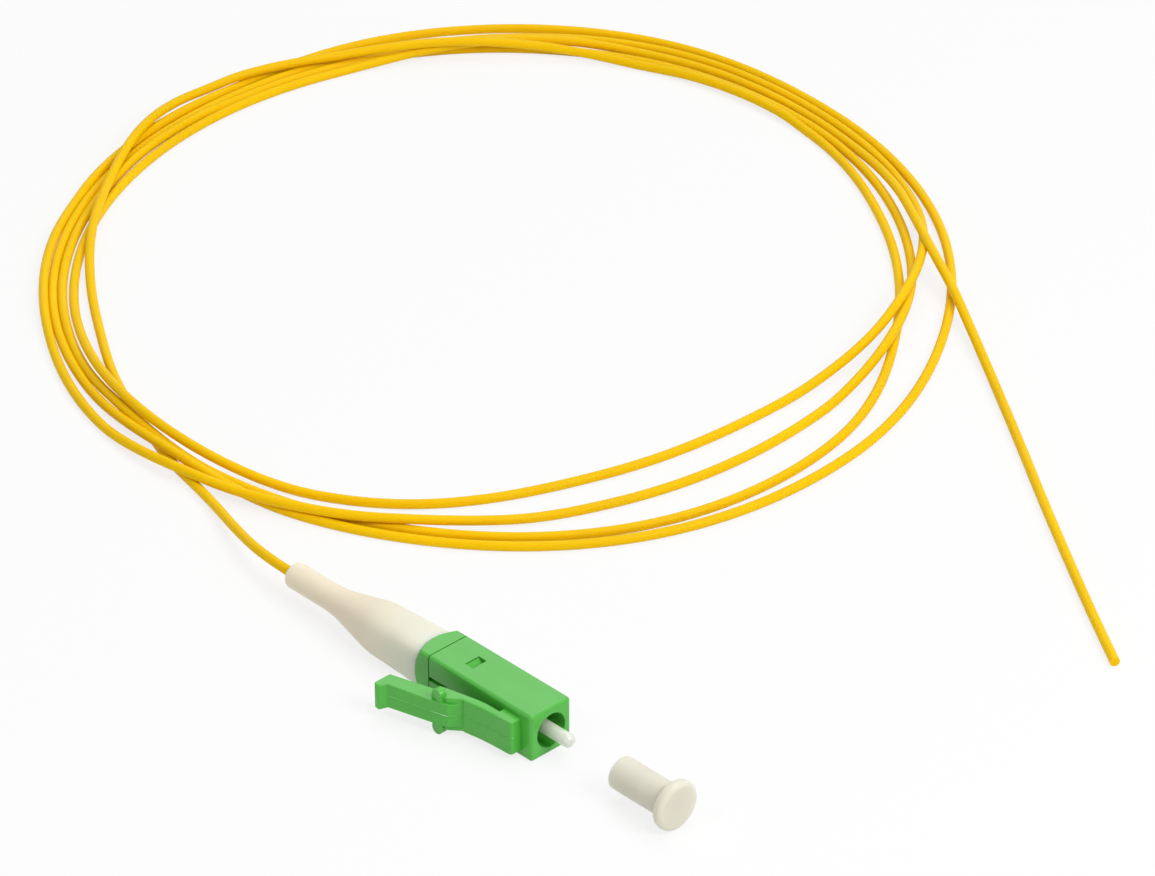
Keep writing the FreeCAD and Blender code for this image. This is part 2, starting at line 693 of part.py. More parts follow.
def make_spring():
    """A compression spring between the flange's hexagon and the rear body."""
    coil = DOC.addObject("Part::Helix", "spring_helix")
    room = f"(plug_back - {SPRING_START} - spring_wire)"
    bind(
        coil, Radius="spring_diameter / 2", Height=room, Pitch=f"{room} / spring_turns",
    )
    wire = DOC.addObject("Part::Circle", "spring_wire_section")
    bind(wire, Radius="spring_wire / 2", Placement_Base_x="spring_diameter / 2")
    wire.Placement.Rotation = FreeCAD.Rotation(FreeCAD.Vector(1, 0, 0), 90)
    spring = DOC.addObject("Part::Sweep", "spring")
    spring.Sections = [wire]
    spring.Spine = (coil, ["Edge1"])
    spring.Solid = True
    spring.Frenet = True
    bind(spring, Placement_Base_x=f"-({SPRING_START} + spring_wire / 2)")
    spring.Placement.Rotation = FreeCAD.Rotation(FreeCAD.Vector(0, 1, 0), -90)
    return spring


def make_guide_tube():
    start = "plug_back + guide_inset"
    return bored(
        "guide_tube",
        cylinder("guide_skin", "guide_outer", start, "guide_length"),
        cylinder("guide_hole", "guide_inner", start, "guide_length"),
    )


def make_fibre_cores():
    glass = cylinder(
        "fibre_glass", "glass_diameter", "-ferrule_reach", "ferrule_reach + coating_back"
    )
    coating = cylinder(
        "fibre_coating", "coating_diameter", "coating_back", "buffer_back - coating_back"
    )
    glue_length = "buffer_back - ferrule_back"
    glue = bored(
        "epoxy_fill",
        cylinder("epoxy_skin", "flange_bore", "ferrule_back", glue_length),
        cylinder("epoxy_hole", "coating_diameter", "ferrule_back", glue_length),
    )
    front = cylinder(
        "fibre_buffer_front", "buffer_diameter", "buffer_back", "buffer_front_length"
    )
    rear_start = "(buffer_back + buffer_front_length + float_room)"
    inside = cylinder(
        "fibre_in_plug", "buffer_diameter", rear_start, f"{BOOT_END} - {rear_start}"
    )
    return [glass, coating, glue, front, inside]


def make_dust_cap():
    body = new_body("dust_cap")
    disc = "(cap_gap + cap_tube_length)"
    end = f"({disc} + cap_disc_length)"
    deep = "(cap_gap + cap_bore_depth)"
    profile = [
        ("cap_gap", "cap_bore / 2"),
        ("cap_gap", "cap_tube_diameter / 2"),
        (disc, "cap_tube_diameter / 2"),
        (disc, "cap_disc_diameter / 2"),
        (end, "cap_disc_diameter / 2"),
        (end, "0"),
        (deep, "0"),
        (deep, "cap_bore / 2"),
    ]
    half = new_sketch(body, "cap_profile", "XY_Plane")
    add_outline(half, profile)
    about_axis(body, add_feature(body, "Revolution", "cap_skin", half))
    rim = size("cap_disc_diameter / 2")
    round_edges(body, "disc_round", "cap_disc_round", lambda edge: is_round(edge, rim))
    tube = size("cap_tube_diameter / 2")
    mouth = size("cap_gap")
    round_edges(
        body, "mouth_round", "cap_mouth_round",
        lambda edge: is_round(edge, tube) and reaches(edge, 0, mouth),
    )
    DOC.recompute()
    return body


def smooth_path(route):
    """Straight runs along a route, joined by tangent arcs as large as the runs allow."""
    points = [FreeCAD.Vector(*point) for point in route]
    edges = []
    radii = []
    start = points[0]
    for before, corner, after in zip(points, points[1:], points[2:]):
        back = (before - corner).normalize()
        ahead = (after - corner).normalize()
        half_turn = (math.pi - back.getAngle(ahead)) / 2
        setback = 0.45 * min((before - corner).Length, (after - corner).Length)
        radius = setback / math.tan(half_turn)
        radii.append(radius)
        entry = corner + back * setback
        leave = corner + ahead * setback
        middle_way = (back + ahead).normalize()
        middle = corner + middle_way * (radius / math.cos(half_turn) - radius)
        edges.append(Part.LineSegment(start, entry).toShape())
        edges.append(Part.Arc(entry, middle, leave).toShape())
        start = leave
    edges.append(Part.LineSegment(start, points[-1]).toShape())
    return Part.Wire(edges), radii


def make_cord(name, route):
    path, radii = smooth_path(route)
    radius = size("buffer_diameter / 2")
    direction = FreeCAD.Vector(*route[1]) - FreeCAD.Vector(*route[0])
    end = Part.Wire([Part.Circle(FreeCAD.Vector(*route[0]), direction, radius).toShape()])
    cord = DOC.addObject("Part::Feature", name)
    cord.Shape = path.makePipeShell([end], True, False)
    expected = math.pi * radius ** 2 * path.Length
    print(
        f"{name}: length {path.Length:.2f}, radii {[round(r, 1) for r in radii]},"
        f" volume {cord.Shape.Volume:.3f} for {expected:.3f}"
    )
    return cord


def ellipse_plate(name, long_half, short_half, turn, centre_x, centre_y):
    """A flat plate with an elliptical edge, from the floor up to the coil's height."""
    edge = DOC.addObject("Part::Ellipse", f"{name}_edge")
    bind(
        edge, MajorRadius=long_half, MinorRadius=short_half, Placement_Base_x=centre_x,
        Placement_Base_y=centre_y, Placement_Base_z=f"-{HALF}",
    )
    edge.Placement.Rotation = FreeCAD.Rotation(FreeCAD.Vector(0, 0, 1), size(turn))
    plate = DOC.addObject("Part::Extrusion", name)
    plate.Base = edge
    plate.DirMode = "Custom"
    plate.Dir = FreeCAD.Vector(0, 0, 1)
    plate.Solid = True
    bind(plate, LengthFwd="coil_height")
    return plate


def make_fibre_coil():
    """The outer shape of the loose turns, which cross each other up to three deep."""
    whole = ellipse_plate(
        "coil_whole", "coil_long", "coil_short", "coil_turn", "coil_centre_x", "coil_centre_y"
    )
    shift_x = "coil_centre_x + coil_hole_shift * cos(coil_hole_turn * 1 deg)"
    shift_y = "coil_centre_y + coil_hole_shift * sin(coil_hole_turn * 1 deg)"
    hole = "(coil_long + coil_short) / 2 - coil_band"
    middle = ellipse_plate("coil_middle", hole, hole, "coil_turn", shift_x, shift_y)
    ring = bored("coil_ring", whole, middle)
    DOC.recompute()
    coil = DOC.addObject("Part::Fillet", "fibre_coil")
    coil.Base = ring
    radius = size("coil_edge")
    coil.Edges = [
        (number, radius, radius)
        for number, edge in enumerate(ring.Shape.Edges, start=1)
        if reaches(edge, 2, size(f"-{HALF}")) or reaches(edge, 2, size(f"coil_height - {HALF}"))
    ]
    return coil


def faults(thing):
    """What is wrong with a piece, as words, or an empty list."""
    found = []
    if thing.Shape.isNull() or not thing.Shape.isValid():
        found.append(f"{thing.Label}: bad shape")
    elif len(thing.Shape.Solids) != 1:
        found.append(f"{thing.Label}: {len(thing.Shape.Solids)} solids")
    return found


def build():
    pieces = [
        make_front_housing(),
        make_latch_lever(),
        make_rear_body(),
        make_boot(),
        make_ferrule(),
        make_ferrule_flange(),
        make_spring(),
        make_guide_tube(),
        *make_fibre_cores(),
        make_cord("fibre_lead", LEAD_ROUTE),
        make_fibre_coil(),
        make_cord("fibre_tail", TAIL_ROUTE),
        make_dust_cap(),
    ]
    DOC.recompute()
    problems = [
        f"{thing.Name}: {thing.State}"
        for thing in DOC.Objects
        if "Invalid" in thing.State or "Error" in thing.State
    ]
    for piece in pieces:
        problems += faults(piece)
    if problems:
        raise RuntimeError("; ".join(problems))
    os.makedirs("parts", exist_ok=True)
    for piece in pieces:
        box = piece.Shape.optimalBoundingBox()
        print(
            f"{piece.Label}: volume {piece.Shape.Volume:.3f},"
            f" x {box.XMin:.2f} {box.XMax:.2f}, y {box.YMin:.2f} {box.YMax:.2f},"
            f" z {box.ZMin:.2f} {box.ZMax:.2f}"
        )
        piece.Shape.exportStep(f"parts/{piece.Label}.step")


build()
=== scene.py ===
# %% [markdown]
# A fibre pigtail is a short length of optical fibre with a plug on one end and a bare end to be
# spliced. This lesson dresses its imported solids: the moulded green plug, the soft boot, the
# white ceramic ferrule, the pulled-off dust cap, and above all the loose coil of yellow fibre.
# Everything is in the frame of the solids: the origin is in the plane of the plug's front face,
# +X runs out of the plug, +Z is up, and the plug lies on its side on the floor. Sizes are
# written in millimetres, and they become metres where Blender gets them.

# %% Load the solids
import math

import bmesh
import bpy
import numpy as np
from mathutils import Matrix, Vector


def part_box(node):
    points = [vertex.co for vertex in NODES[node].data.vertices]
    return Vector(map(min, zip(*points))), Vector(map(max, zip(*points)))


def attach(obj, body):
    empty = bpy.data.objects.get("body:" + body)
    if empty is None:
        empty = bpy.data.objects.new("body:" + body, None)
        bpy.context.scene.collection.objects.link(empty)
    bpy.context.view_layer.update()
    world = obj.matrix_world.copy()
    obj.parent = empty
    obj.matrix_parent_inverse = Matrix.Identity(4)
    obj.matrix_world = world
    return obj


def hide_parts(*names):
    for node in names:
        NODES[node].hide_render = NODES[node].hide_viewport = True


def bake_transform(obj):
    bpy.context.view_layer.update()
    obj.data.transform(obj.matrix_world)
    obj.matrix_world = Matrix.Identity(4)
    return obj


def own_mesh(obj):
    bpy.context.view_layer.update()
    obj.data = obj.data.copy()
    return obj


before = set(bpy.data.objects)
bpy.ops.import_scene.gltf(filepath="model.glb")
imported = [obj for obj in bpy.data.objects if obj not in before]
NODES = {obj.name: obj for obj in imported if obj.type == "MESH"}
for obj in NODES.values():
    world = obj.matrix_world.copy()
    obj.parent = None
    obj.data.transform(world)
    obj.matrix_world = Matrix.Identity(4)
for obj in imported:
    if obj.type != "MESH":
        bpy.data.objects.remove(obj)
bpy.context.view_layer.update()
MM = 0.001


# %% [markdown]
# The object is seen from its front left, from well above and from far away, so its edges hardly
# converge. A long lens gives that view. The camera could be placed by three coordinates and
# three turns, but here it is placed from the point that it looks at, the way round and the way
# up, because those are easy to compare with a photograph. The lamps use the same helper later.

# %% Camera
LENS_MM = 200.0
SENSOR_MM = 36.0
LOOKS_AT = Vector((-33.22, 34.95, -2.26)) * MM
AZIMUTH, ELEVATION = 46.14, 32.82
DISTANCE = 573.7 * MM
NEAREST, FARTHEST = 0.01, 10.0


def add_object(name, data):
    """A new object in the scene, from a camera's, lamp's, curve's or mesh's data."""
    thing = bpy.data.objects.new(name, data)
    bpy.context.scene.collection.objects.link(thing)
    return thing


def aim(thing, azimuth, elevation, distance):
    """Put a camera or lamp so many degrees round and above the object, facing it."""
    turn, tilt = math.radians(azimuth), math.radians(elevation)
    flat = math.cos(tilt)
    back = Vector((math.sin(turn) * flat, -math.cos(turn) * flat, math.sin(tilt)))
    thing.location = LOOKS_AT + distance * back
    thing.rotation_mode = "QUATERNION"
    thing.rotation_quaternion = (-back).to_track_quat("-Z", "Y")


def make_camera():
    """The camera at the photograph's viewing angle."""
    data = bpy.data.cameras.new("camera")
    data.lens = LENS_MM
    data.sensor_width = SENSOR_MM
    data.clip_start = NEAREST
    data.clip_end = FARTHEST
    camera = add_object("camera", data)
    aim(camera, AZIMUTH, ELEVATION, DISTANCE)
    bpy.context.scene.camera = camera
    bpy.context.scene.view_settings.view_transform = "Standard"
    return camera


camera = make_camera()
print("camera at, in mm:", [round(value / MM, 1) for value in camera.location])

# %% [markdown]
# The fibre is one length of 0.9 mm tight buffer, so it is one spline. Its two loose stretches,
# the lead from the boot and the tail with the cut end, have points listed one by one, as in the
# part's source. The coil could be an even spiral, but the real one is loose: its turns differ in
# size, fan out on the near side and cross each other. So each turn gets a row of distances from
# the coil's middle, one for each hour of a clock face, and a loop runs round the rows.

# %% The fibre's plan
FIBRE_D = 0.9
FLOOR_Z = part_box("front_housing")[0].z / MM
LAID_Z = FLOOR_Z + FIBRE_D / 2
LEAD = [
    (-32.0, 0.0, 0.0), (-34.6, 0.0, 0.0), (-38.5, 0.75, -0.35), (-42.5, 2.2, -1.05),
    (-46.5, 3.7, -1.6), (-50.0, 4.7, LAID_Z), (-53.4, 5.4, LAID_Z), (-56.7, 6.25, LAID_Z),
]
TAIL = [
    (-29.9, 78.0, -0.9), (-25.9, 75.9, -0.9), (-21.0, 72.9, -1.35), (-14.4, 68.8, -1.75),
    (-5.2, 62.6, LAID_Z), (3.6, 56.5, LAID_Z), (11.5, 51.2, LAID_Z), (18.6, 46.5, LAID_Z),
    (24.06, 43.04, LAID_Z),
]
COIL_MIDDLE = np.array((-58.0, 50.0))
HOURS = 12
FIRST_HOUR = 6
TURNS = [
    [42.2, 38.9, 40.3, 44.1, 41.2, 40.4],
    [38.4, 36.1, 37.1, 41.8, 44.9, 44.4, 42.9, 41.8, 41.2, 41.3, 42.1, 41.3],
    [39.3, 37.7, 37.4, 37.7, 40.6, 44.8, 45.5, 43.6, 43.0, 43.1, 45.6, 45.5],
    [42.5, 41.2, 41.5, 44.2, 46.5, 45.7, 43.8, 42.7, 42.1, 42.2, 43.5, 44.1],
    [41.5, 39.7, 36.4, 33.8, 36.0, 41.2, 42.3, 40.8, 40.1, 40.4, 41.2, 42.7],
    [40.4, 38.6],
]
LAST_TURN = len(TURNS) - 1
print("coil: turns", round(sum(map(len, TURNS)) / HOURS, 1))

# %% Round the coil


def between(rows, place):
    """A soft curve through evenly spaced numbers, read at a place between them."""
    number = int(place)
    share = place - number
    last = len(rows) - 1
    a, b, c, d = (rows[min(max(number + shift, 0), last)] for shift in (-1, 0, 1, 2))
    return 0.5 * (
        2 * b + (c - a) * share + (2 * a - 5 * b + 4 * c - d) * share ** 2
        + (3 * b - a - 3 * c + d) * share ** 3
    )


def coil_plan(parts, first):
    """Places round the coil, so many parts to the hour, each with its turn's number."""
    rows = [radius for turn in TURNS for radius in turn]
    places, turns = [], []
    for part in range(first, (len(rows) - 1) * parts + 1):
        hours = FIRST_HOUR + part / parts
        angle = math.radians(90 - hours * 360 / HOURS)
        radius = between(rows, part / parts)
        places.append(COIL_MIDDLE + radius * np.array((math.cos(angle), math.sin(angle))))
        turns.append(int(hours // HOURS))
    return places, turns


HOUR_PLACES = coil_plan(1, 0)[0]
print("coil: across, in mm:", np.ptp(HOUR_PLACES, axis=0).round(1).tolist())

# %% [markdown]
# The turns can't pass through each other. A rope simulation could settle them, but it would move
# them off their places in the plan. So they are laid by a rule: each turn rests on what it
# crosses, in a long low hump, because the fibre is springy. They are laid in the order in which
# they lie: every turn is lifted over those laid before it, and comes down again with a gentle
# slope. The fibre starts under all the others, and its first turn then comes back over the top.

# %% How the turns lie
SLOPE = 0.10  # the steepest way down from a crossing
HUMP = 3.0  # the soft top of a crossing, in mm along the fibre
TURN_GAP = 1.03  # between the middle lines of stacked turns, in diameters
TOUCH = 0.97  # turns that are closer than this in the plan rest on each other, in diameters
FINE = 40  # places to the hour while the turns are laid
STRIDE = 6  # fine places from one control point to the next
COIL_JOIN = 8  # fine places left out where the lead runs into the coil
LEAD_LANDS = 4  # the lead's first point that takes part in the laying
STRAIGHT_GAP = 0.7  # between places on the lead and the tail, in mm
UNDER_ALL = 45  # the coil's first fine places, which lie under everything
SAME_STRAND = 12.0  # a strand doesn't rest on itself within this length, in mm
LAID_FIRST = -1  # the turn number of what lies under everything
ORDER = [3, 1, 2, 4, 5, 0]  # the turns' numbers, from the floor up


def straight_places(points):
    """Places along straight runs, close together."""
    found = []
    for start, end in zip(points[:-1], points[1:]):
        start, end = np.array(start[:2]), np.array(end[:2])
        count = max(2, int(np.linalg.norm(end - start) / STRAIGHT_GAP))
        found += [start + (end - start) * share for share in np.arange(count) / count]
    return found


def lay_turns():
    """The plan and height of every fine place, and the numbers of the coil's and tail's first."""
    lead = straight_places(LEAD[LEAD_LANDS:])
    coil, turns = coil_plan(FINE, COIL_JOIN)
    tail = straight_places([coil[-1], *TAIL])[1:]
    plan = np.array(lead + coil + tail)
    label = np.array([LAID_FIRST] * len(lead) + turns + [LAST_TURN] * len(tail))
    label[:len(lead) + UNDER_ALL] = LAID_FIRST
    along = np.concatenate([[0], np.cumsum(np.linalg.norm(np.diff(plan, axis=0), axis=1))])
    height = np.full(len(plan), LAID_Z)
    laid = np.flatnonzero(label == LAID_FIRST)
    for turn in ORDER:
        mine = np.flatnonzero(label == turn)
        apart = np.linalg.norm(plan[mine][:, None] - plan[laid][None], axis=2)
        apart[np.abs(along[mine][:, None] - along[laid][None]) < SAME_STRAND] = np.inf
        rise = np.sqrt(np.maximum((TURN_GAP * FIBRE_D) ** 2 - apart ** 2, 0))
        touching = apart < TOUCH * FIBRE_D
        need = np.where(touching, height[laid][None] + rise, -np.inf).max(axis=1)
        away = np.abs(along[mine][:, None] - along[mine][None])
        fall = SLOPE * (np.sqrt(away ** 2 + HUMP ** 2) - HUMP)
        height[mine] = np.maximum((need[None] - fall).max(axis=1), LAID_Z)
        laid = np.concatenate([laid, mine])
    return plan, height, len(lead), len(lead) + len(coil)


PLAN, HEIGHT, COIL_FIRST, TAIL_FIRST = lay_turns()
print("turns laid: fine places", len(PLAN), "highest, in mm:", round(max(HEIGHT) - FLOOR_Z, 2))

# %% The fibre's route


def fibre_route():
    """The fibre's control points, from the boot to the bare end, in mm."""
    route = list(LEAD)
    for number in range(COIL_FIRST, TAIL_FIRST, STRIDE):
        route.append((*PLAN[number], HEIGHT[number]))
    for x, y, z in TAIL:
        nearest = np.argmin(np.linalg.norm(PLAN - np.array((x, y)), axis=1))
        laid = HEIGHT[nearest] if nearest >= TAIL_FIRST else z
        route.append((x, y, max(z, laid)))
    return route


ROUTE = fibre_route()
print("fibre: points", len(ROUTE))

# %% [markdown]
# One NURBS spline runs through it all. A mesh tube would do too, but a spline stays smooth with
# few points and keeps its round section. Its order is 3 and it ends on its end points, and both
# are set after the points are there. The bevel makes the skin, and the caps close the cut end.

# %% The fibre
FIBRE_STEPS = 4
SKIN_STEPS = 6


def make_fibre(route):
    """One open spline with a round skin."""
    data = bpy.data.curves.new("fibre", "CURVE")
    data.dimensions = "3D"
    spline = data.splines.new("NURBS")
    spline.points.add(len(route) - 1)
    for point, place in zip(spline.points, route):
        point.co = (*(value * MM for value in place), 1.0)
    spline.order_u = 3
    spline.use_endpoint_u = True
    spline.resolution_u = FIBRE_STEPS
    data.bevel_depth = FIBRE_D / 2 * MM
    data.bevel_resolution = SKIN_STEPS
    data.use_fill_caps = True
    return add_object("fibre", data)


def curve_length(thing):
    """The length of a curve's middle line, in metres."""
    bare = thing.copy()
    bare.data = thing.data.copy()
    bare.data.bevel_depth = 0
    line = bpy.data.meshes.new_from_object(bare)
    places = np.array([vertex.co for vertex in line.vertices])
    bpy.data.objects.remove(bare)
    return float(np.linalg.norm(np.diff(places, axis=0), axis=1).sum())


fibre = make_fibre(ROUTE)
FIBRE_LENGTH = curve_length(fibre)
print("fibre: length", round(FIBRE_LENGTH, 4), "m")

# %% [markdown]
# Materials come next. They could be painted pictures wrapped on each piece, but here each is a
# Principled surface with patterns worked out from Object coordinates, so that they stay on the
# piece from every side and at any size. The helpers below keep each finish short: one makes the
# material and its coordinates, one adds a noise, and the rest turn a noise into colours, into
# bumps and into duller and shinier places.

# %% Helpers for a finish and its colour
CLOUD_LOW, CLOUD_HIGH = 0.3, 0.7
FINISHES = {}


def new_finish(name, roughness, **settings):
    """A material with a Principled surface; returns it with its tree, shader and coordinates."""
    material = bpy.data.materials.new(name)
    material.use_nodes = True
    tree = material.node_tree
    shader = tree.nodes["Principled BSDF"]
    shader.inputs["Roughness"].default_value = roughness
    for socket, value in settings.items():
        shader.inputs[socket.replace("_", " ")].default_value = value
    places = tree.nodes.new("ShaderNodeTexCoord").outputs["Object"]
    return material, tree, shader, places


def noise(tree, places, per_mm, detail=3.0, stretch=(1, 1, 1)):
    """A noise with so many features to a millimetre, stretched along the axes."""
    mapping = tree.nodes.new("ShaderNodeMapping")
    mapping.inputs["Scale"].default_value = stretch
    tree.links.new(places, mapping.inputs["Vector"])
    made = tree.nodes.new("ShaderNodeTexNoise")
    made.inputs["Scale"].default_value = per_mm / MM
    made.inputs["Detail"].default_value = detail
    tree.links.new(mapping.outputs["Vector"], made.inputs["Vector"])
    return made.outputs["Fac"]


def colour_along(tree, shader, value, stops):
    """The surface's colour, from stops along a value from 0 to 1."""
    made = tree.nodes.new("ShaderNodeValToRGB")
    elements = made.color_ramp.elements
    while len(elements) < len(stops):
        elements.new(0.5)
    for element, (place, colour) in zip(elements, stops):
        element.position = place
        element.color = (*colour, 1)
    tree.links.new(value, made.inputs["Fac"])
    tree.links.new(made.outputs["Color"], shader.inputs["Base Color"])


def two_tones(tree, shader, value, dark, light):
    """The surface's colour drifts between two close tones."""
    colour_along(tree, shader, value, [(CLOUD_LOW, dark), (CLOUD_HIGH, light)])


def tint(colour, share):
    """A darker or lighter tone of a colour."""
    return tuple(min(1.0, channel * share) for channel in colour)


# %% Helpers for bumps and shine


def bump(tree, shader, value, height_mm, under=None):
    """Bumps of a height, on top of those under them."""
    made = tree.nodes.new("ShaderNodeBump")
    made.inputs["Distance"].default_value = height_mm * MM
    tree.links.new(value, made.inputs["Height"])
    if under is not None:
        tree.links.new(under, made.inputs["Normal"])
    tree.links.new(made.outputs["Normal"], shader.inputs["Normal"])
    return made.outputs["Normal"]


def along_axis(tree, places, axis, start, end):
    """0 at one place along an axis and 1 at another, in metres."""
    split = tree.nodes.new("ShaderNodeSeparateXYZ")
    tree.links.new(places, split.inputs["Vector"])
    made = tree.nodes.new("ShaderNodeMapRange")
    made.inputs["From Min"].default_value = start
    made.inputs["From Max"].default_value = end
    tree.links.new(split.outputs[axis], made.inputs["Value"])
    return made.outputs["Result"]


def vary_roughness(tree, shader, value, low, high):
    """Shinier and duller places."""
    made = tree.nodes.new("ShaderNodeMapRange")
    made.inputs["To Min"].default_value = low
    made.inputs["To Max"].default_value = high
    tree.links.new(value, made.inputs["Value"])
    tree.links.new(made.outputs["Result"], shader.inputs["Roughness"])


def keep_finish(title, material):
    """Keep a finish under a short title, and say what it is made of."""
    FINISHES[title] = material
    print(material.name + ": nodes", len(material.node_tree.nodes))


# %% [markdown]
# The plug is injection moulded in a bright green plastic. Its skin is smooth with a faint orange
# peel from the mould, and the colour drifts a little where the plastic flowed. A plain green
# would look like a drawing. So a slow noise moves the colour, two finer ones make the peel, and
# a small share of light under the skin keeps the shaded sides from going dead.

# %% Green moulded plastic
GREEN = (0.078, 0.458, 0.050)
GREEN_DARKER, GREEN_LIGHTER = 0.94, 1.06


def make_green():
    """Smooth green plastic from a mould."""
    material, tree, shader, places = new_finish(
        "green_plastic", roughness=0.24, Subsurface_Weight=0.04, Subsurface_Scale=0.4 * MM,
        Subsurface_Radius=(0.4, 1.0, 0.3), IOR=1.50, Specular_IOR_Level=0.42,
    )
    flow = noise(tree, places, per_mm=0.25, detail=2.0, stretch=(0.4, 1, 1))
    two_tones(tree, shader, flow, tint(GREEN, GREEN_DARKER), tint(GREEN, GREEN_LIGHTER))
    vary_roughness(tree, shader, noise(tree, places, per_mm=1.2), low=0.18, high=0.26)
    peel = noise(tree, places, per_mm=3.0, detail=2.0)
    grain = noise(tree, places, per_mm=16.0, detail=2.0)
    waves = bump(tree, shader, peel, height_mm=0.004)
    bump(tree, shader, grain, height_mm=0.0005, under=waves)
    return material


keep_finish("green", make_green())

# %% [markdown]
# The boot is a soft, slightly clear white plastic. Near the plug the green stem inside shows
# through it, and along the thin tube the yellow fibre warms it. A see-through plastic over real
# insides would show that by itself, but noisily. So it is painted along the boot's length, and
# light under the skin softens it.

# %% Boot plastic
BOOT_FRONT, BOOT_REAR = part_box("boot")[1].x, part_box("boot")[0].x
BOOT_TONES = [
    (0.00, (0.80, 0.81, 0.68)), (0.22, (0.80, 0.77, 0.63)), (0.42, (0.79, 0.72, 0.56)),
    (0.70, (0.85, 0.75, 0.57)), (1.00, (0.87, 0.77, 0.59)),
]


def make_boot_plastic():
    """Soft off-white plastic, warmer towards the rear."""
    material, tree, shader, places = new_finish(
        "boot_plastic", roughness=0.48, Subsurface_Weight=0.80, Subsurface_Scale=1.1 * MM,
        Subsurface_Radius=(1.0, 0.9, 0.75), IOR=1.45,
    )
    run = along_axis(tree, places, "X", BOOT_FRONT, BOOT_REAR)
    colour_along(tree, shader, run, BOOT_TONES)
    vary_roughness(tree, shader, noise(tree, places, per_mm=0.8), low=0.42, high=0.55)
    swell = noise(tree, places, per_mm=0.7, detail=1.0)
    grain = noise(tree, places, per_mm=14.0, detail=4.0)
    waves = bump(tree, shader, swell, height_mm=0.02)
    bump(tree, shader, grain, height_mm=0.003, under=waves)
    return material


keep_finish("boot", make_boot_plastic())

# %% [markdown]
# The ferrule is zirconia, ground round and polished at the tip: very smooth, milky, and bright
# in its highlights. The dust cap is a soft moulded white plastic, dull beside the ferrule. The
# two could share one white. They get their own because gloss tells ceramic from plastic: the
# ferrule has a high index and low roughness, with fine rings from the grinding.

# %% Ceramic and cap plastic
CERAMIC_TONES = (0.67, 0.71, 0.61), (0.71, 0.75, 0.65)
CAP_TONES = (0.685, 0.66, 0.555), (0.715, 0.69, 0.585)


def make_zirconia():
    """Ground and polished white ceramic."""
    material, tree, shader, places = new_finish(
        "white_ceramic", roughness=0.12, Subsurface_Weight=0.30, Subsurface_Scale=0.5 * MM,
        Subsurface_Radius=(1.0, 0.95, 0.85), IOR=2.1, Specular_IOR_Level=0.5,
    )
    cloud = noise(tree, places, per_mm=0.8, detail=2.0)
    two_tones(tree, shader, cloud, *CERAMIC_TONES)
    grinding = noise(tree, places, per_mm=9.0, detail=2.0, stretch=(6, 0.5, 0.5))
    bump(tree, shader, grinding, height_mm=0.0006)
    return material


def make_cap_plastic():
    """Soft dull white plastic."""
    material, tree, shader, places = new_finish(
        "soft_white_plastic", roughness=0.50, Subsurface_Weight=1.0, Subsurface_Scale=1.3 * MM,
        Subsurface_Radius=(1.0, 0.95, 0.85), IOR=1.46,
    )
    cloud = noise(tree, places, per_mm=0.35, detail=2.0)
    two_tones(tree, shader, cloud, *CAP_TONES)
    vary_roughness(tree, shader, noise(tree, places, per_mm=1.0), low=0.44, high=0.58)
    swell = noise(tree, places, per_mm=0.9, detail=1.0)
    grain = noise(tree, places, per_mm=12.0, detail=4.0)
    waves = bump(tree, shader, swell, height_mm=0.012)
    bump(tree, shader, grain, height_mm=0.003, under=waves)
    return material


keep_finish("zirconia", make_zirconia())
keep_finish("cap", make_cap_plastic())

# %% [markdown]
# The fibre's buffer is an extruded yellow plastic, smooth and a little waxy. One even yellow
# would make the turns run together. So its colour drifts slowly along the length, and faint
# draw marks and dust break the highlight.

# %% Yellow buffer
YELLOW = (0.88, 0.545, 0.0)
YELLOW_DARKER, YELLOW_LIGHTER = 0.94, 1.05


def make_yellow():
    """Waxy yellow plastic, drawn over the fibre."""
    material, tree, shader, places = new_finish(
        "waxy_yellow", roughness=0.42, Subsurface_Weight=0.45, Subsurface_Scale=0.35 * MM,
        Subsurface_Radius=(1.0, 0.7, 0.1), IOR=1.46, Specular_IOR_Level=0.1,
    )
    drift = noise(tree, places, per_mm=0.05, detail=2.0)
    two_tones(tree, shader, drift, tint(YELLOW, YELLOW_DARKER), tint(YELLOW, YELLOW_LIGHTER))
    vary_roughness(tree, shader, noise(tree, places, per_mm=1.5), low=0.36, high=0.50)
    dust = noise(tree, places, per_mm=2.5, detail=1.0)
    bump(tree, shader, dust, height_mm=0.0012)
    return material


keep_finish("yellow", make_yellow())

# %% [markdown]
# Inside the plug are a nickel-plated flange, a steel spring, a clear guide tube, the glass with
# its coating, and the glue. They are seen only through the plug's openings, and when it comes
# apart. Two makers cover them all, one for metals and one for clear materials, because the
# pieces differ only in colour, gloss and how much light goes through.

# %% Metals, glass and glue
WORN_TONE, CLEAR_TONE = 0.90, 0.95
POLISHED, DULLED = 0.8, 1.3
METALS = [  # title, name, colour, roughness, stretch of the scratches
    ("nickel", "nickel_plate", (0.72, 0.69, 0.64), 0.28, (6, 1, 1)),
    ("steel", "drawn_steel", (0.66, 0.66, 0.67), 0.22, (1, 1, 1)),
]
CLEAR_ONES = [  # title, name, colour, roughness, share of the light let through, index
    ("tube", "natural_tube", (0.90, 0.90, 0.88), 0.25, 0.50, 1.35),
    ("glass", "silica", (0.90, 0.92, 0.90), 0.03, 0.25, 1.46),
    ("coating", "acrylate", (0.92, 0.92, 0.86), 0.15, 0.60, 1.49),
    ("epoxy", "amber_epoxy", (0.78, 0.50, 0.16), 0.12, 0.60, 1.55),
]


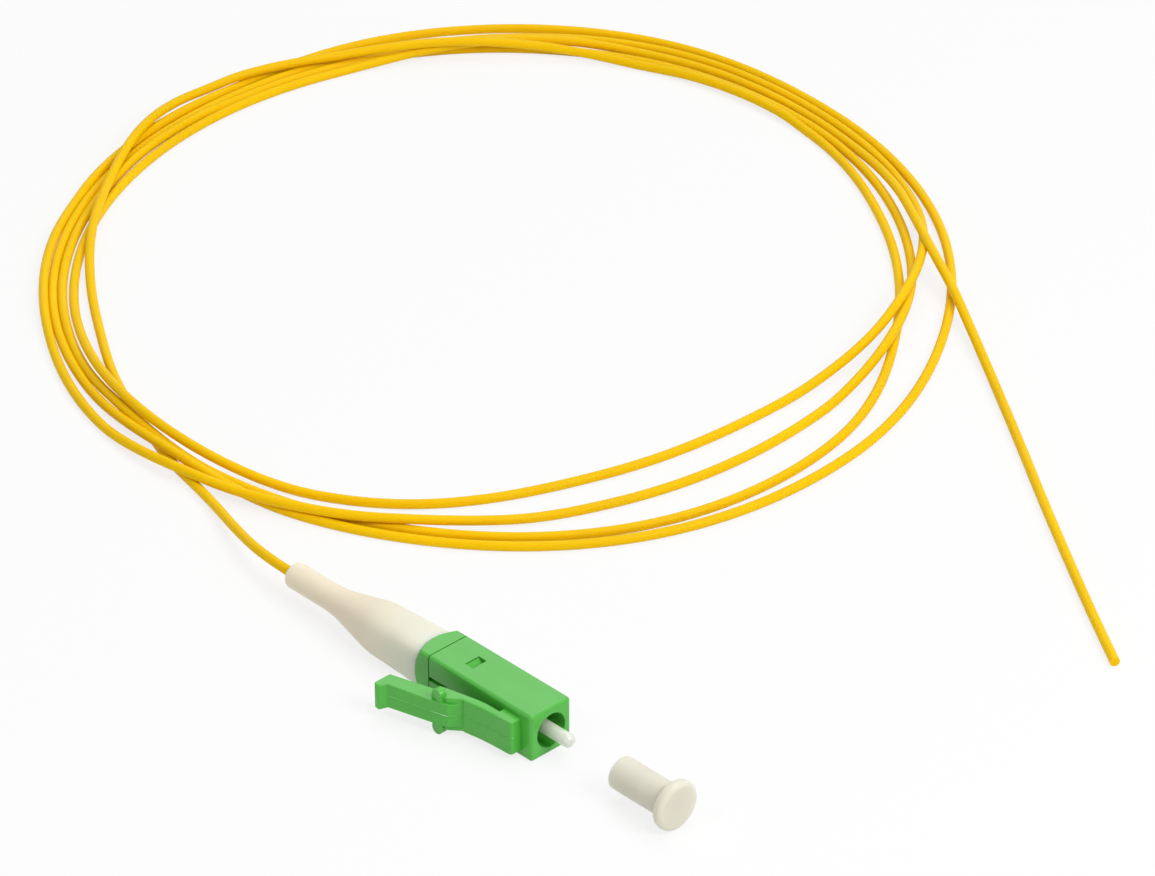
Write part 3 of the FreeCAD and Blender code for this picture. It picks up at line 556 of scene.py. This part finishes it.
def make_metal(name, colour, roughness, scratches):
    """Metal with fine marks, stretched along the axes."""
    material, tree, shader, places = new_finish(name, roughness, Metallic=1.0)
    marks = noise(tree, places, per_mm=5.0, stretch=scratches)
    two_tones(tree, shader, marks, tint(colour, WORN_TONE), colour)
    vary_roughness(tree, shader, marks, roughness * POLISHED, roughness * DULLED)
    bump(tree, shader, marks, height_mm=0.001)
    return material


def make_clear(name, colour, roughness, transmission, ior):
    """Glass, glue or clear plastic, a little cloudy."""
    material, tree, shader, places = new_finish(
        name, roughness, Transmission_Weight=transmission, IOR=ior
    )
    cloud = noise(tree, places, per_mm=1.0, detail=2.0)
    two_tones(tree, shader, cloud, tint(colour, CLEAR_TONE), colour)
    bump(tree, shader, noise(tree, places, per_mm=8.0), height_mm=0.001)
    return material


for title, *settings in METALS:
    keep_finish(title, make_metal(*settings))
for title, *settings in CLEAR_ONES:
    keep_finish(title, make_clear(*settings))

# %% Finishes on the solids
NODE_FINISH = {
    "front_housing": "green", "rear_body": "green", "latch_lever": "green", "boot": "boot",
    "ferrule": "zirconia", "ferrule_flange": "nickel", "spring": "steel",
    "guide_tube": "tube", "fibre_glass": "glass", "fibre_coating": "coating",
    "epoxy_fill": "epoxy", "fibre_buffer_front": "yellow", "fibre_in_plug": "yellow",
    "dust_cap": "cap",
}


def dress(thing, finish):
    """Give a piece one finish."""
    if thing.material_slots:
        for slot in thing.material_slots:
            slot.material = FINISHES[finish]
    else:
        thing.data.materials.append(FINISHES[finish])


for node, finish in NODE_FINISH.items():
    dress(NODES[node], finish)
print("finishes:", len(FINISHES), "on solids:", len(NODE_FINISH))

# %% [markdown]
# With its finish on, the fibre stands for the three plain solids that keep its place, and it is
# hung on the plug.

# %% The fibre takes its place
dress(fibre, "yellow")
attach(fibre, "plug")
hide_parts("fibre_lead", "fibre_coil", "fibre_tail")

# %% [markdown]
# On the real plug the latch is moulded in one with the housing, and its arm bends when it is
# pressed. The solids use a small hinge for that. Two stiff pieces would show a crack there, so
# here one piece stands for the lever. Its side view is drawn as two outlines of corners:
# each corner says how far back it is from the plug's front, how far out from the plug's axis,
# and by which radius it is rounded.

# %% The latch's outlines
HOUSING_HALF = -FLOOR_Z
ROOT_FRONT, SLOT_FRONT = 1.275, 3.26
ROOT_INNER, ROOT_OUTER = HOUSING_HALF - 0.25, HOUSING_HALF + 1.12
RAMP_END = 6.62
BLOCK_END, BLOCK_FOOT = 9.10, 3.74
LIP_START, LEVER_END = 13.04, 13.96
ARM = [
    (ROOT_FRONT, ROOT_INNER, 0.0), (ROOT_FRONT, ROOT_OUTER, 0.35), (3.65, 3.515, 10.0),
    (4.80, 3.63, 10.0), (6.42, 3.91, 0.10), (RAMP_END, 3.88, 0.10), (7.60, 4.72, 0.30),
    (BLOCK_END, 4.96, 0.12), (BLOCK_END, BLOCK_FOOT, 0.10), (5.05, 2.77, 8.0),
    (SLOT_FRONT, 2.76, 0.12), (SLOT_FRONT, ROOT_INNER, 0.0),
]
LEVER = [
    (6.50, 3.75, 0.0), (6.68, 3.91, 0.0), (7.34, 4.88, 0.07), (8.91, 5.39, 0.12),
    (LIP_START, 6.46, 0.10), (13.33, 7.19, 0.16), (LEVER_END, 7.16, 0.20),
    (LEVER_END, 5.34, 0.12), (BLOCK_END, BLOCK_FOOT, 0.0), (8.60, 3.85, 0.0),
]
ROUND_STEPS = 6


def rounded_outline(corners):
    """Places round an outline of (back, outward, radius) corners, each rounded by its radius."""
    places = []
    for number, (back, outward, radius) in enumerate(corners):
        here = Vector((-back, -outward))
        if not radius:
            places.append(here)
            continue
        before, after = corners[number - 1], corners[(number + 1) % len(corners)]
        one = (Vector((-before[0], -before[1])) - here).normalized()
        two = (Vector((-after[0], -after[1])) - here).normalized()
        half = one.angle(two) / 2
        middle = here + (one + two).normalized() * radius / math.sin(half)
        start = here + one * radius / math.tan(half) - middle
        end = here + two * radius / math.tan(half) - middle
        turn = start.angle_signed(end)
        for part in range(ROUND_STEPS + 1):
            angle = -turn * part / ROUND_STEPS
            places.append(middle + Vector((
                start.x * math.cos(angle) - start.y * math.sin(angle),
                start.x * math.sin(angle) + start.y * math.cos(angle),
            )))
    return places


print("latch: places round its outlines",
      len(rounded_outline(ARM)), "and", len(rounded_outline(LEVER)))

# %% [markdown]
# A plate of such an outline could be a solid cut out with booleans. Drawing its two sides and
# the wall between them is cleaner, because every face is then known and a bevel can round the
# rims. All the meshes of this lesson are made in millimetres in bmesh, and one helper turns
# them into objects with smooth faces and sharp edges.

# %% Helpers for meshes
EDGE = 0.09
EDGE_PARTS = 3
SHARP_DEGREES = 40


def resize(mesh, corners, factor):
    """Scale corners of a mesh about the origin."""
    bmesh.ops.scale(mesh, vec=(factor, factor, factor), verts=corners)


def join_rings(mesh, one, two):
    """The faces all the way round between two rings of corners."""
    return [
        mesh.faces.new((one[number], one[number - 1], two[number - 1], two[number]))
        for number in range(len(one))
    ]


def plate(mesh, outline, half_width):
    """A closed plate of an outline, as wide as given both ways, with rounded edges."""
    sides = []
    for height in (-half_width, half_width):
        corners = [mesh.verts.new((x, y, height)) for x, y in outline]
        sides.append(mesh.faces.new(corners))
    low, high = (list(side.verts) for side in sides)
    walls = join_rings(mesh, low, high)
    bmesh.ops.recalc_face_normals(mesh, faces=[*sides, *walls])
    rims = [rim for side in sides for rim in side.edges]
    bmesh.ops.bevel(
        mesh, geom=rims, offset=EDGE, segments=EDGE_PARTS, profile=0.5, affect="EDGES",
        clamp_overlap=True,
    )


def finish_mesh(mesh, name, sharp_degrees=SHARP_DEGREES):
    """A bmesh in millimetres becomes an object in metres, smooth but for its sharp edges."""
    data = bpy.data.meshes.new(name)
    for face in mesh.faces:
        face.smooth = True
    resize(mesh, mesh.verts, MM)
    mesh.to_mesh(data)
    mesh.free()
    data.set_sharp_from_angle(angle=math.radians(sharp_degrees))
    thing = add_object(name, data)
    weights = thing.modifiers.new("even_normals", "WEIGHTED_NORMAL")
    weights.keep_sharp = True
    print(name + ": faces", len(data.polygons))
    return thing


# %% [markdown]
# Some details follow a path or a rule, such as the fine line that the two halves of the mould
# leave along the latch, and the spring's wire. They could be modelled by hand, but Geometry
# Nodes make them from a few named sizes. The helpers below make a node group, add nodes to it,
# hang it on a piece, and turn the result into a plain mesh.

# %% Helpers for a node group


def new_group(name, numbers):
    """A node group with geometry in and out and named numbers as inputs."""
    group = bpy.data.node_groups.new(name, "GeometryNodeTree")
    sides = (("INPUT", "Geometry"), ("OUTPUT", "Geometry"))
    for in_out, title in sides:
        group.interface.new_socket(title, in_out=in_out, socket_type="NodeSocketGeometry")
    for title in numbers:
        group.interface.new_socket(title, in_out="INPUT", socket_type="NodeSocketFloat")
    group.interface.new_socket("Material", in_out="INPUT", socket_type="NodeSocketMaterial")
    start = group.nodes.new("NodeGroupInput")
    end = group.nodes.new("NodeGroupOutput")
    return group, start.outputs, end.inputs


def step(group, kind, *sources, **settings):
    """Add a node, join sources to its inputs in order, and set its properties."""
    node = group.nodes.new(kind)
    for name, value in settings.items():
        setattr(node, name, value)
    for socket, source in zip(node.inputs, sources):
        if isinstance(source, (int, float)):
            socket.default_value = source
        elif source is not None:
            group.links.new(source, socket)
    return node


def calc(group, operation, *sources):
    """One sum of numbers."""
    return step(group, "ShaderNodeMath", *sources, operation=operation).outputs[0]


def wire_along(group, curve, sides, radius):
    """A closed wire of so many sides along a curve."""
    ring = step(group, "GeometryNodeCurvePrimitiveCircle", sides)
    group.links.new(radius, ring.inputs["Radius"])
    wire = step(group, "GeometryNodeCurveToMesh", curve, ring.outputs["Curve"])
    wire.inputs["Fill Caps"].default_value = True
    return wire.outputs["Mesh"]


def end_with(group, geometry, start, end):
    """Give the geometry its material and make it real."""
    dressed = step(group, "GeometryNodeSetMaterial", geometry, None, start["Material"])
    real = step(group, "GeometryNodeRealizeInstances", dressed.outputs["Geometry"])
    group.links.new(real.outputs["Geometry"], end["Geometry"])


# %% Helpers to grow a mesh


def grown(name, data, group, finish, **numbers):
    """The plain mesh that a node group makes from a mesh."""
    seed = add_object(name, data)
    modifier = seed.modifiers.new(group.name, "NODES")
    modifier.node_group = group
    for item in group.interface.items_tree:
        if item.in_out == "INPUT" and item.name in numbers:
            modifier[item.identifier] = numbers[item.name]
        elif item.in_out == "INPUT" and item.name == "Material":
            modifier[item.identifier] = FINISHES[finish]
    ready = seed.evaluated_get(bpy.context.evaluated_depsgraph_get())
    mesh = bpy.data.meshes.new_from_object(ready)
    bpy.data.objects.remove(seed)
    print(name + ": faces", len(mesh.polygons))
    return mesh


def polyline(name, places):
    """A mesh of edges through places in millimetres."""
    data = bpy.data.meshes.new(name)
    links = [(number, number + 1) for number in range(len(places) - 1)]
    data.from_pydata([Vector(place) * MM for place in places], links, [])
    return data


# %% [markdown]
# The mould's line runs round the outer face of the arm and the lever, halfway up. A bump in the
# material would vanish at the edges, so it is a very fine ridge: a four-sided wire half sunk in
# the skin. It follows the same outlines as the plates do.

# %% The mould's line
RIDGE = 0.05
RIDGE_SIDES = 4


def outer_skin(outline, last):
    """Places along the outer face, from the outline's second corner back to the last."""
    places = []
    for place in rounded_outline(outline)[1:]:
        if -place.x > last:
            break
        places.append((place.x, place.y, 0))
    return places


def ridge_group():
    """A wire along the mesh's edges."""
    group, start, end = new_group("mould_line", ["Width"])
    curve = step(group, "GeometryNodeMeshToCurve", start["Geometry"]).outputs["Curve"]
    end_with(group, wire_along(group, curve, RIDGE_SIDES, start["Width"]), start, end)
    return group


RIDGE_PATH = [*outer_skin(ARM, RAMP_END), *outer_skin(LEVER, LIP_START)]
RIDGE_MESH = grown(
    "mould_line", polyline("mould_path", RIDGE_PATH), ridge_group(), "green", Width=RIDGE * MM
)

# %% [markdown]
# The latch is put together from the wide arm, the narrower lever with its slightly spread tip,
# the bar whose round ends stand out as ears, and the mould's line. Its skin is cut across every
# quarter of a millimetre near the root, where the real arm bends. A hinged piece would need no
# cuts, but it would gape at its root.

# %% The latch's sizes
ARM_HALF, LEVER_HALF = 1.63, 1.13
TIP_START, TIP_END, TIP_SPREAD = 12.4, 13.3, 1.10
BEND_START, BEND_END = 2.9, 6.9
BEND_STEP = 0.25
CUT_SLACK = 1e-6
EAR_BACK, EAR_UP, EAR_RADIUS = 8.50, 1.67, 0.57
EAR_OUT, EAR_THICK, EAR_EDGE = 5.10, 0.66, 0.06
EAR_STEPS = 40
EDGE_MIDDLE = 0.3  # how far in a round edge's middle is, as a share of its radius
print("latch: width in mm", 2 * ARM_HALF, "over the ears", round(2 * (EAR_UP + EAR_RADIUS), 2))

# %% The latch


def ear_bar(mesh):
    """A bar across the arm's end, whose round ends stand out as ears."""
    soft = EAR_EDGE * EDGE_MIDDLE
    rings = []
    for depth, shrink in ((0.0, EAR_EDGE), (soft, soft), (EAR_EDGE, 0.0), (EAR_THICK, 0.0)):
        radius = EAR_RADIUS - shrink
        ring = []
        for number in range(EAR_STEPS):
            angle = 2 * math.pi * (number + 0.5) / EAR_STEPS
            back = radius * math.cos(angle) - EAR_BACK
            up = math.copysign(EAR_UP, math.sin(angle)) + radius * math.sin(angle)
            ring.append(mesh.verts.new((back, depth - EAR_OUT, up)))
        rings.append(ring)
    faces = [mesh.faces.new(rings[0]), mesh.faces.new(rings[-1])]
    for one, two in zip(rings[:-1], rings[1:]):
        faces += join_rings(mesh, one, two)
    bmesh.ops.recalc_face_normals(mesh, faces=faces)


def spread_tip(corners):
    """Make the lever a little wider towards its tip."""
    for corner in corners:
        share = min(max((-corner.co.x - TIP_START) / (TIP_END - TIP_START), 0.0), 1.0)
        corner.co.z *= 1 + (TIP_SPREAD - 1) * share


def make_latch():
    """Arm, lever, ears and mould line as one piece, cut across near its root."""
    mesh = bmesh.new()
    plate(mesh, rounded_outline(ARM), ARM_HALF)
    arm = set(mesh.verts)
    plate(mesh, rounded_outline(LEVER), LEVER_HALF)
    spread_tip(set(mesh.verts) - arm)
    ear_bar(mesh)
    skin = set(mesh.verts)
    mesh.from_mesh(RIDGE_MESH)
    resize(mesh, [corner for corner in mesh.verts if corner not in skin], 1 / MM)
    for back in np.arange(BEND_START, BEND_END + BEND_STEP, BEND_STEP):
        everything = [*mesh.verts, *mesh.edges, *mesh.faces]
        bmesh.ops.bisect_plane(
            mesh, geom=everything, dist=CUT_SLACK, plane_co=(-back, 0, 0), plane_no=(1, 0, 0)
        )
    return finish_mesh(mesh, "latch")


latch = make_latch()
dress(latch, "green")
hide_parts("latch_lever")
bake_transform(latch)

# %% [markdown]
# The spring behind the ferrule is wound from round wire, with its ends laid close. A screw
# modifier would wind it evenly. Here its wire follows a rule in Geometry Nodes: the way round
# grows evenly, and the way along is held back at both ends. The spring shortens when the ferrule
# is pushed in.

# %% The ferrule spring
SPRING_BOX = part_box("spring")
SPRING_WIRE = 0.28
SPRING_TURNS = 5.0
SPRING_STEPS = 200
SPRING_SIDES = 12
END_HOLD = 0.07
SAME_PLACE = 1e-4


def spring_group():
    """A wire wound on a cylinder, from a line with as many edges as the wire has."""
    names = ["Turns", "Radius", "Wire", "Start", "Length", "Hold"]
    group, start, end = new_group("wound_spring", names)
    line = step(group, "GeometryNodeMeshToCurve", start["Geometry"]).outputs["Curve"]
    share = step(group, "GeometryNodeSplineParameter").outputs["Factor"]
    whole = calc(group, "MULTIPLY", share, 2 * math.pi)
    angle = calc(group, "MULTIPLY", whole, start["Turns"])
    held = calc(group, "MULTIPLY", calc(group, "SINE", whole), start["Hold"])
    eased = calc(group, "SUBTRACT", share, held)
    along = calc(group, "ADD", start["Start"], calc(group, "MULTIPLY", eased, start["Length"]))
    across = calc(group, "MULTIPLY", calc(group, "COSINE", angle), start["Radius"])
    up = calc(group, "MULTIPLY", calc(group, "SINE", angle), start["Radius"])
    place = step(group, "ShaderNodeCombineXYZ", along, across, up).outputs["Vector"]
    helix = step(group, "GeometryNodeSetPosition", line, None, place).outputs["Geometry"]
    end_with(group, wire_along(group, helix, SPRING_SIDES, start["Wire"]), start, end)
    return group


def make_spring():
    """The wound spring, as long as its solid."""
    low, high = SPRING_BOX
    wire = SPRING_WIRE / 2 * MM
    line = polyline("spring_line", [(number, 0, 0) for number in range(SPRING_STEPS + 1)])
    mesh = bmesh.new()
    mesh.from_mesh(grown(
        "spring_wire", line, spring_group(), "steel", Turns=SPRING_TURNS,
        Radius=(high.y - low.y) / 2 - wire, Wire=wire, Start=high.x - wire,
        Length=low.x - high.x + 2 * wire, Hold=END_HOLD,
    ))
    resize(mesh, mesh.verts, 1 / MM)
    bmesh.ops.remove_doubles(mesh, verts=mesh.verts, dist=SAME_PLACE)
    bmesh.ops.recalc_face_normals(mesh, faces=mesh.faces)
    return finish_mesh(mesh, "ferrule_spring")


spring = make_spring()
dress(spring, "steel")
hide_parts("spring")
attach(spring, "plug")
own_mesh(spring)

# %% [markdown]
# The boot is moulded round the fibre in one soft skin: a rounded square where it meets the
# collar, a round tube at the rear, and an even flare between. Its front edge follows the
# collar's arched end. A subdivided box could be pulled into that shape, but the flare would not
# be even. So it is drawn as rings, one after another, out along the skin and back through the
# hole, so that it closes on itself. Places are distances back from the plug's front.

# %% The boot's sizes
BOOT_GAP = 0.03
BELLY, NECK, BOOT_END = 20.7, 26.3, 32.0
FRONT_HALF, BELLY_HALF, TUBE_RADIUS = 2.21, 2.255, 1.20
FRONT_POWER, BELLY_POWER, ROUND_POWER = 4.1, 2.55, 2
FLARE_SOFT = 1.3
REAR_ROUND = 0.25
STEM_END, STEM_LENGTH = -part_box("rear_body")[0].x / MM, 4.33
COLLAR_END, COLLAR_SLOPE = STEM_END - STEM_LENGTH, 0.7637
FRONT_FLAT = HOUSING_HALF - 0.06
SOCKET_RADIUS, SOCKET_END = 1.60, STEM_END + 0.20
GROOVE_RADIUS = 1.79
GROOVE_START, GROOVE_END = STEM_END - 1.44, STEM_END - 0.86
HOLE_RADIUS = 0.525
LEAN_RUN = 1.5
RING_CORNERS = 72
SKIN_RINGS = 70
REAR_RINGS = 6
BOOT_SHARP_DEGREES = 50
print("boot: from", round(COLLAR_END + BOOT_GAP, 2), "to", BOOT_END, "mm behind the front")

# %% The boot's sections


def soft_step(place, corner, soft):
    """0 before a corner and the distance past it after, rounded over a length each way."""
    if place <= corner - soft:
        return 0.0
    if place >= corner + soft:
        return place - corner
    return (place - corner + soft) ** 2 / (4 * soft)


def boot_section(back):
    """Half the width over the flats, and how square the section is, at a place."""
    steepness = (BELLY_HALF - TUBE_RADIUS) / (NECK - BELLY)
    drop = soft_step(back, BELLY, FLARE_SOFT) - soft_step(back, NECK, FLARE_SOFT)
    share = min(1, max(0, (back - COLLAR_END) / (BELLY - COLLAR_END)))
    half = FRONT_HALF + (BELLY_HALF - FRONT_HALF) * share - steepness * drop
    rest = 1 - steepness * drop / (BELLY_HALF - TUBE_RADIUS)
    power = BELLY_POWER + (FRONT_POWER - BELLY_POWER) * (1 - share) ** 2
    return half, ROUND_POWER + (power - ROUND_POWER) * rest


def ring_angles():
    """The way round to each corner of a ring."""
    return [2 * math.pi * number / RING_CORNERS for number in range(RING_CORNERS)]


def boot_ring(back, limit=None):
    """Places round the skin; at the front they lean into the collar's arch."""
    half, power = boot_section(back)
    fade = max(0, 1 - (back - COLLAR_END - BOOT_GAP) / LEAN_RUN)
    ring = []
    for angle in ring_angles():
        across, up = math.cos(angle), math.sin(angle)
        radius = half / (abs(across) ** power + abs(up) ** power) ** (1 / power)
        if limit:
            radius = min(radius, limit)
        lean = max(0, radius - HOUSING_HALF) * COLLAR_SLOPE * fade
        ring.append((-back + lean, radius * across, radius * up))
    return ring


def round_ring(back, radius):
    """Places round a circle."""
    return [(-back, radius * math.cos(angle), radius * math.sin(angle)) for angle in ring_angles()]


print("boot: half width in its middle", round(boot_section((BELLY + NECK) / 2)[0], 3), "mm")

# %% The boot


def boot_rings():
    """All rings of the boot: its front, its skin, its rounded rear, its hole and its socket."""
    front = COLLAR_END + BOOT_GAP
    rear = BOOT_END - REAR_ROUND
    rings = [round_ring(front, SOCKET_RADIUS), boot_ring(front, limit=FRONT_FLAT)]
    rings += [boot_ring(back) for back in np.linspace(front, rear, SKIN_RINGS)]
    for part in range(1, REAR_RINGS + 1):
        turn = math.pi / 2 * part / REAR_RINGS
        away = REAR_ROUND * (1 - math.cos(turn))
        rings.append(round_ring(rear + REAR_ROUND * math.sin(turn), TUBE_RADIUS - away))
    inside = [
        (BOOT_END, HOLE_RADIUS), (SOCKET_END, HOLE_RADIUS), (SOCKET_END, SOCKET_RADIUS),
        (GROOVE_END, SOCKET_RADIUS), (GROOVE_END, GROOVE_RADIUS),
        (GROOVE_START, GROOVE_RADIUS), (GROOVE_START, SOCKET_RADIUS),
    ]
    return rings + [round_ring(back, radius) for back, radius in inside]


def make_boot():
    """The boot's skin and hole in one closed mesh."""
    mesh = bmesh.new()
    rings = [[mesh.verts.new(place) for place in ring] for ring in boot_rings()]
    for one, two in zip(rings, rings[1:] + rings[:1]):
        join_rings(mesh, one, two)
    bmesh.ops.recalc_face_normals(mesh, faces=mesh.faces)
    return finish_mesh(mesh, "soft_boot", BOOT_SHARP_DEGREES)


boot = make_boot()
dress(boot, "boot")
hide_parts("boot")
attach(boot, "plug")

# %% [markdown]
# The studio is a white floor under soft boxes: one each side of the camera, a small bright one
# high on the right, one above, and one behind, whose soft mirror image lies on the upward faces.
# An even white room is around. More light would whiten the floor too, but it would bleach the
# boot and the cap. So the floor and the room glow for the camera only, also where it looks by a
# mirror or through glass, and the floor still carries the object's shadows.

# %% What only the camera sees
SEEN_BY = ("Is Camera Ray", "Is Glossy Ray", "Is Transmission Ray")


def camera_sees(tree):
    """1 where the camera looks, straight or in a mirror or glass, and 0 for other light."""
    path = tree.nodes.new("ShaderNodeLightPath")
    total = path.outputs[SEEN_BY[0]]
    for name in SEEN_BY[1:]:
        larger = tree.nodes.new("ShaderNodeMath")
        larger.operation = "MAXIMUM"
        tree.links.new(total, larger.inputs[0])
        tree.links.new(path.outputs[name], larger.inputs[1])
        total = larger.outputs[0]
    return total


def mix_to(tree, output, share, first, second):
    """Send an output a mix of two shaders; the share is the second's."""
    mix = tree.nodes.new("ShaderNodeMixShader")
    for socket, source in zip(mix.inputs, (share, first.outputs[0], second.outputs[0])):
        tree.links.new(source, socket)
    tree.links.new(mix.outputs[0], tree.nodes[output].inputs["Surface"])


# %% Floor
FLOOR_HALF = 2.0
FLOOR_WHITE = 0.86
FLOOR_GLOW = 0.79


def make_floor_paper():
    """White paper that glows a little for the camera."""
    material = bpy.data.materials.new("white_floor")
    material.use_nodes = True
    tree = material.node_tree
    tree.nodes.remove(tree.nodes["Principled BSDF"])
    paper = tree.nodes.new("ShaderNodeBsdfDiffuse")
    paper.inputs["Color"].default_value = (FLOOR_WHITE, FLOOR_WHITE, FLOOR_WHITE, 1)
    glow = tree.nodes.new("ShaderNodeEmission")
    share = tree.nodes.new("ShaderNodeMath")
    share.operation = "MULTIPLY"
    share.inputs[1].default_value = FLOOR_GLOW
    tree.links.new(camera_sees(tree), share.inputs[0])
    mix_to(tree, "Material Output", share.outputs[0], paper, glow)
    return material


def make_floor():
    """A large square under the object, in metres."""
    mesh = bmesh.new()
    ways = [(-1, -1), (1, -1), (1, 1), (-1, 1)]
    corners = [(x * FLOOR_HALF, y * FLOOR_HALF, FLOOR_Z * MM) for x, y in ways]
    mesh.faces.new([mesh.verts.new(corner) for corner in corners])
    data = bpy.data.meshes.new("floor")
    mesh.to_mesh(data)
    mesh.free()
    data.materials.append(make_floor_paper())
    return add_object("floor", data)


floor = make_floor()
print("floor: metres across", 2 * FLOOR_HALF)

# %% Room
ROOM_LIGHT = 0.42
ROOM_SEEN = 1.0
WHITE = (1, 1, 1, 1)


def make_room():
    """An even white light from all round, which the camera sees as plain white."""
    world = bpy.data.worlds.new("room")
    world.use_nodes = True
    bpy.context.scene.world = world
    tree = world.node_tree
    light = tree.nodes["Background"]
    seen = tree.nodes.new("ShaderNodeBackground")
    for background, strength in ((light, ROOM_LIGHT), (seen, ROOM_SEEN)):
        background.inputs["Strength"].default_value = strength
        background.inputs["Color"].default_value = WHITE
    mix_to(tree, "World Output", camera_sees(tree), light, seen)


make_room()
print("room: light", ROOM_LIGHT)

# %% Lamps
LAMPS = [  # name, degrees round, degrees up, metres away, metres wide, watts
    ("left_box", -8.0, 46.0, 0.55, 0.035, 0.20),
    ("right_box", 96.0, 40.0, 0.55, 0.22, 1.20),
    ("spot_box", 70.0, 60.0, 0.55, 0.024, 0.35),
    ("top_box", 190.0, 70.0, 0.70, 0.45, 1.28),
    ("back_box", 226.0, 38.0, 0.80, 0.36, 0.42),
]


def make_lamp(name, azimuth, elevation, distance, side, power):
    """A square soft box that faces the object."""
    data = bpy.data.lights.new(name, "AREA")
    data.shape = "SQUARE"
    data.size = side
    data.energy = power
    aim(add_object(name, data), azimuth, elevation, distance)


for lamp in LAMPS:
    make_lamp(*lamp)
print("lamps:", len(LAMPS), "watts:", round(sum(lamp[-1] for lamp in LAMPS), 2))
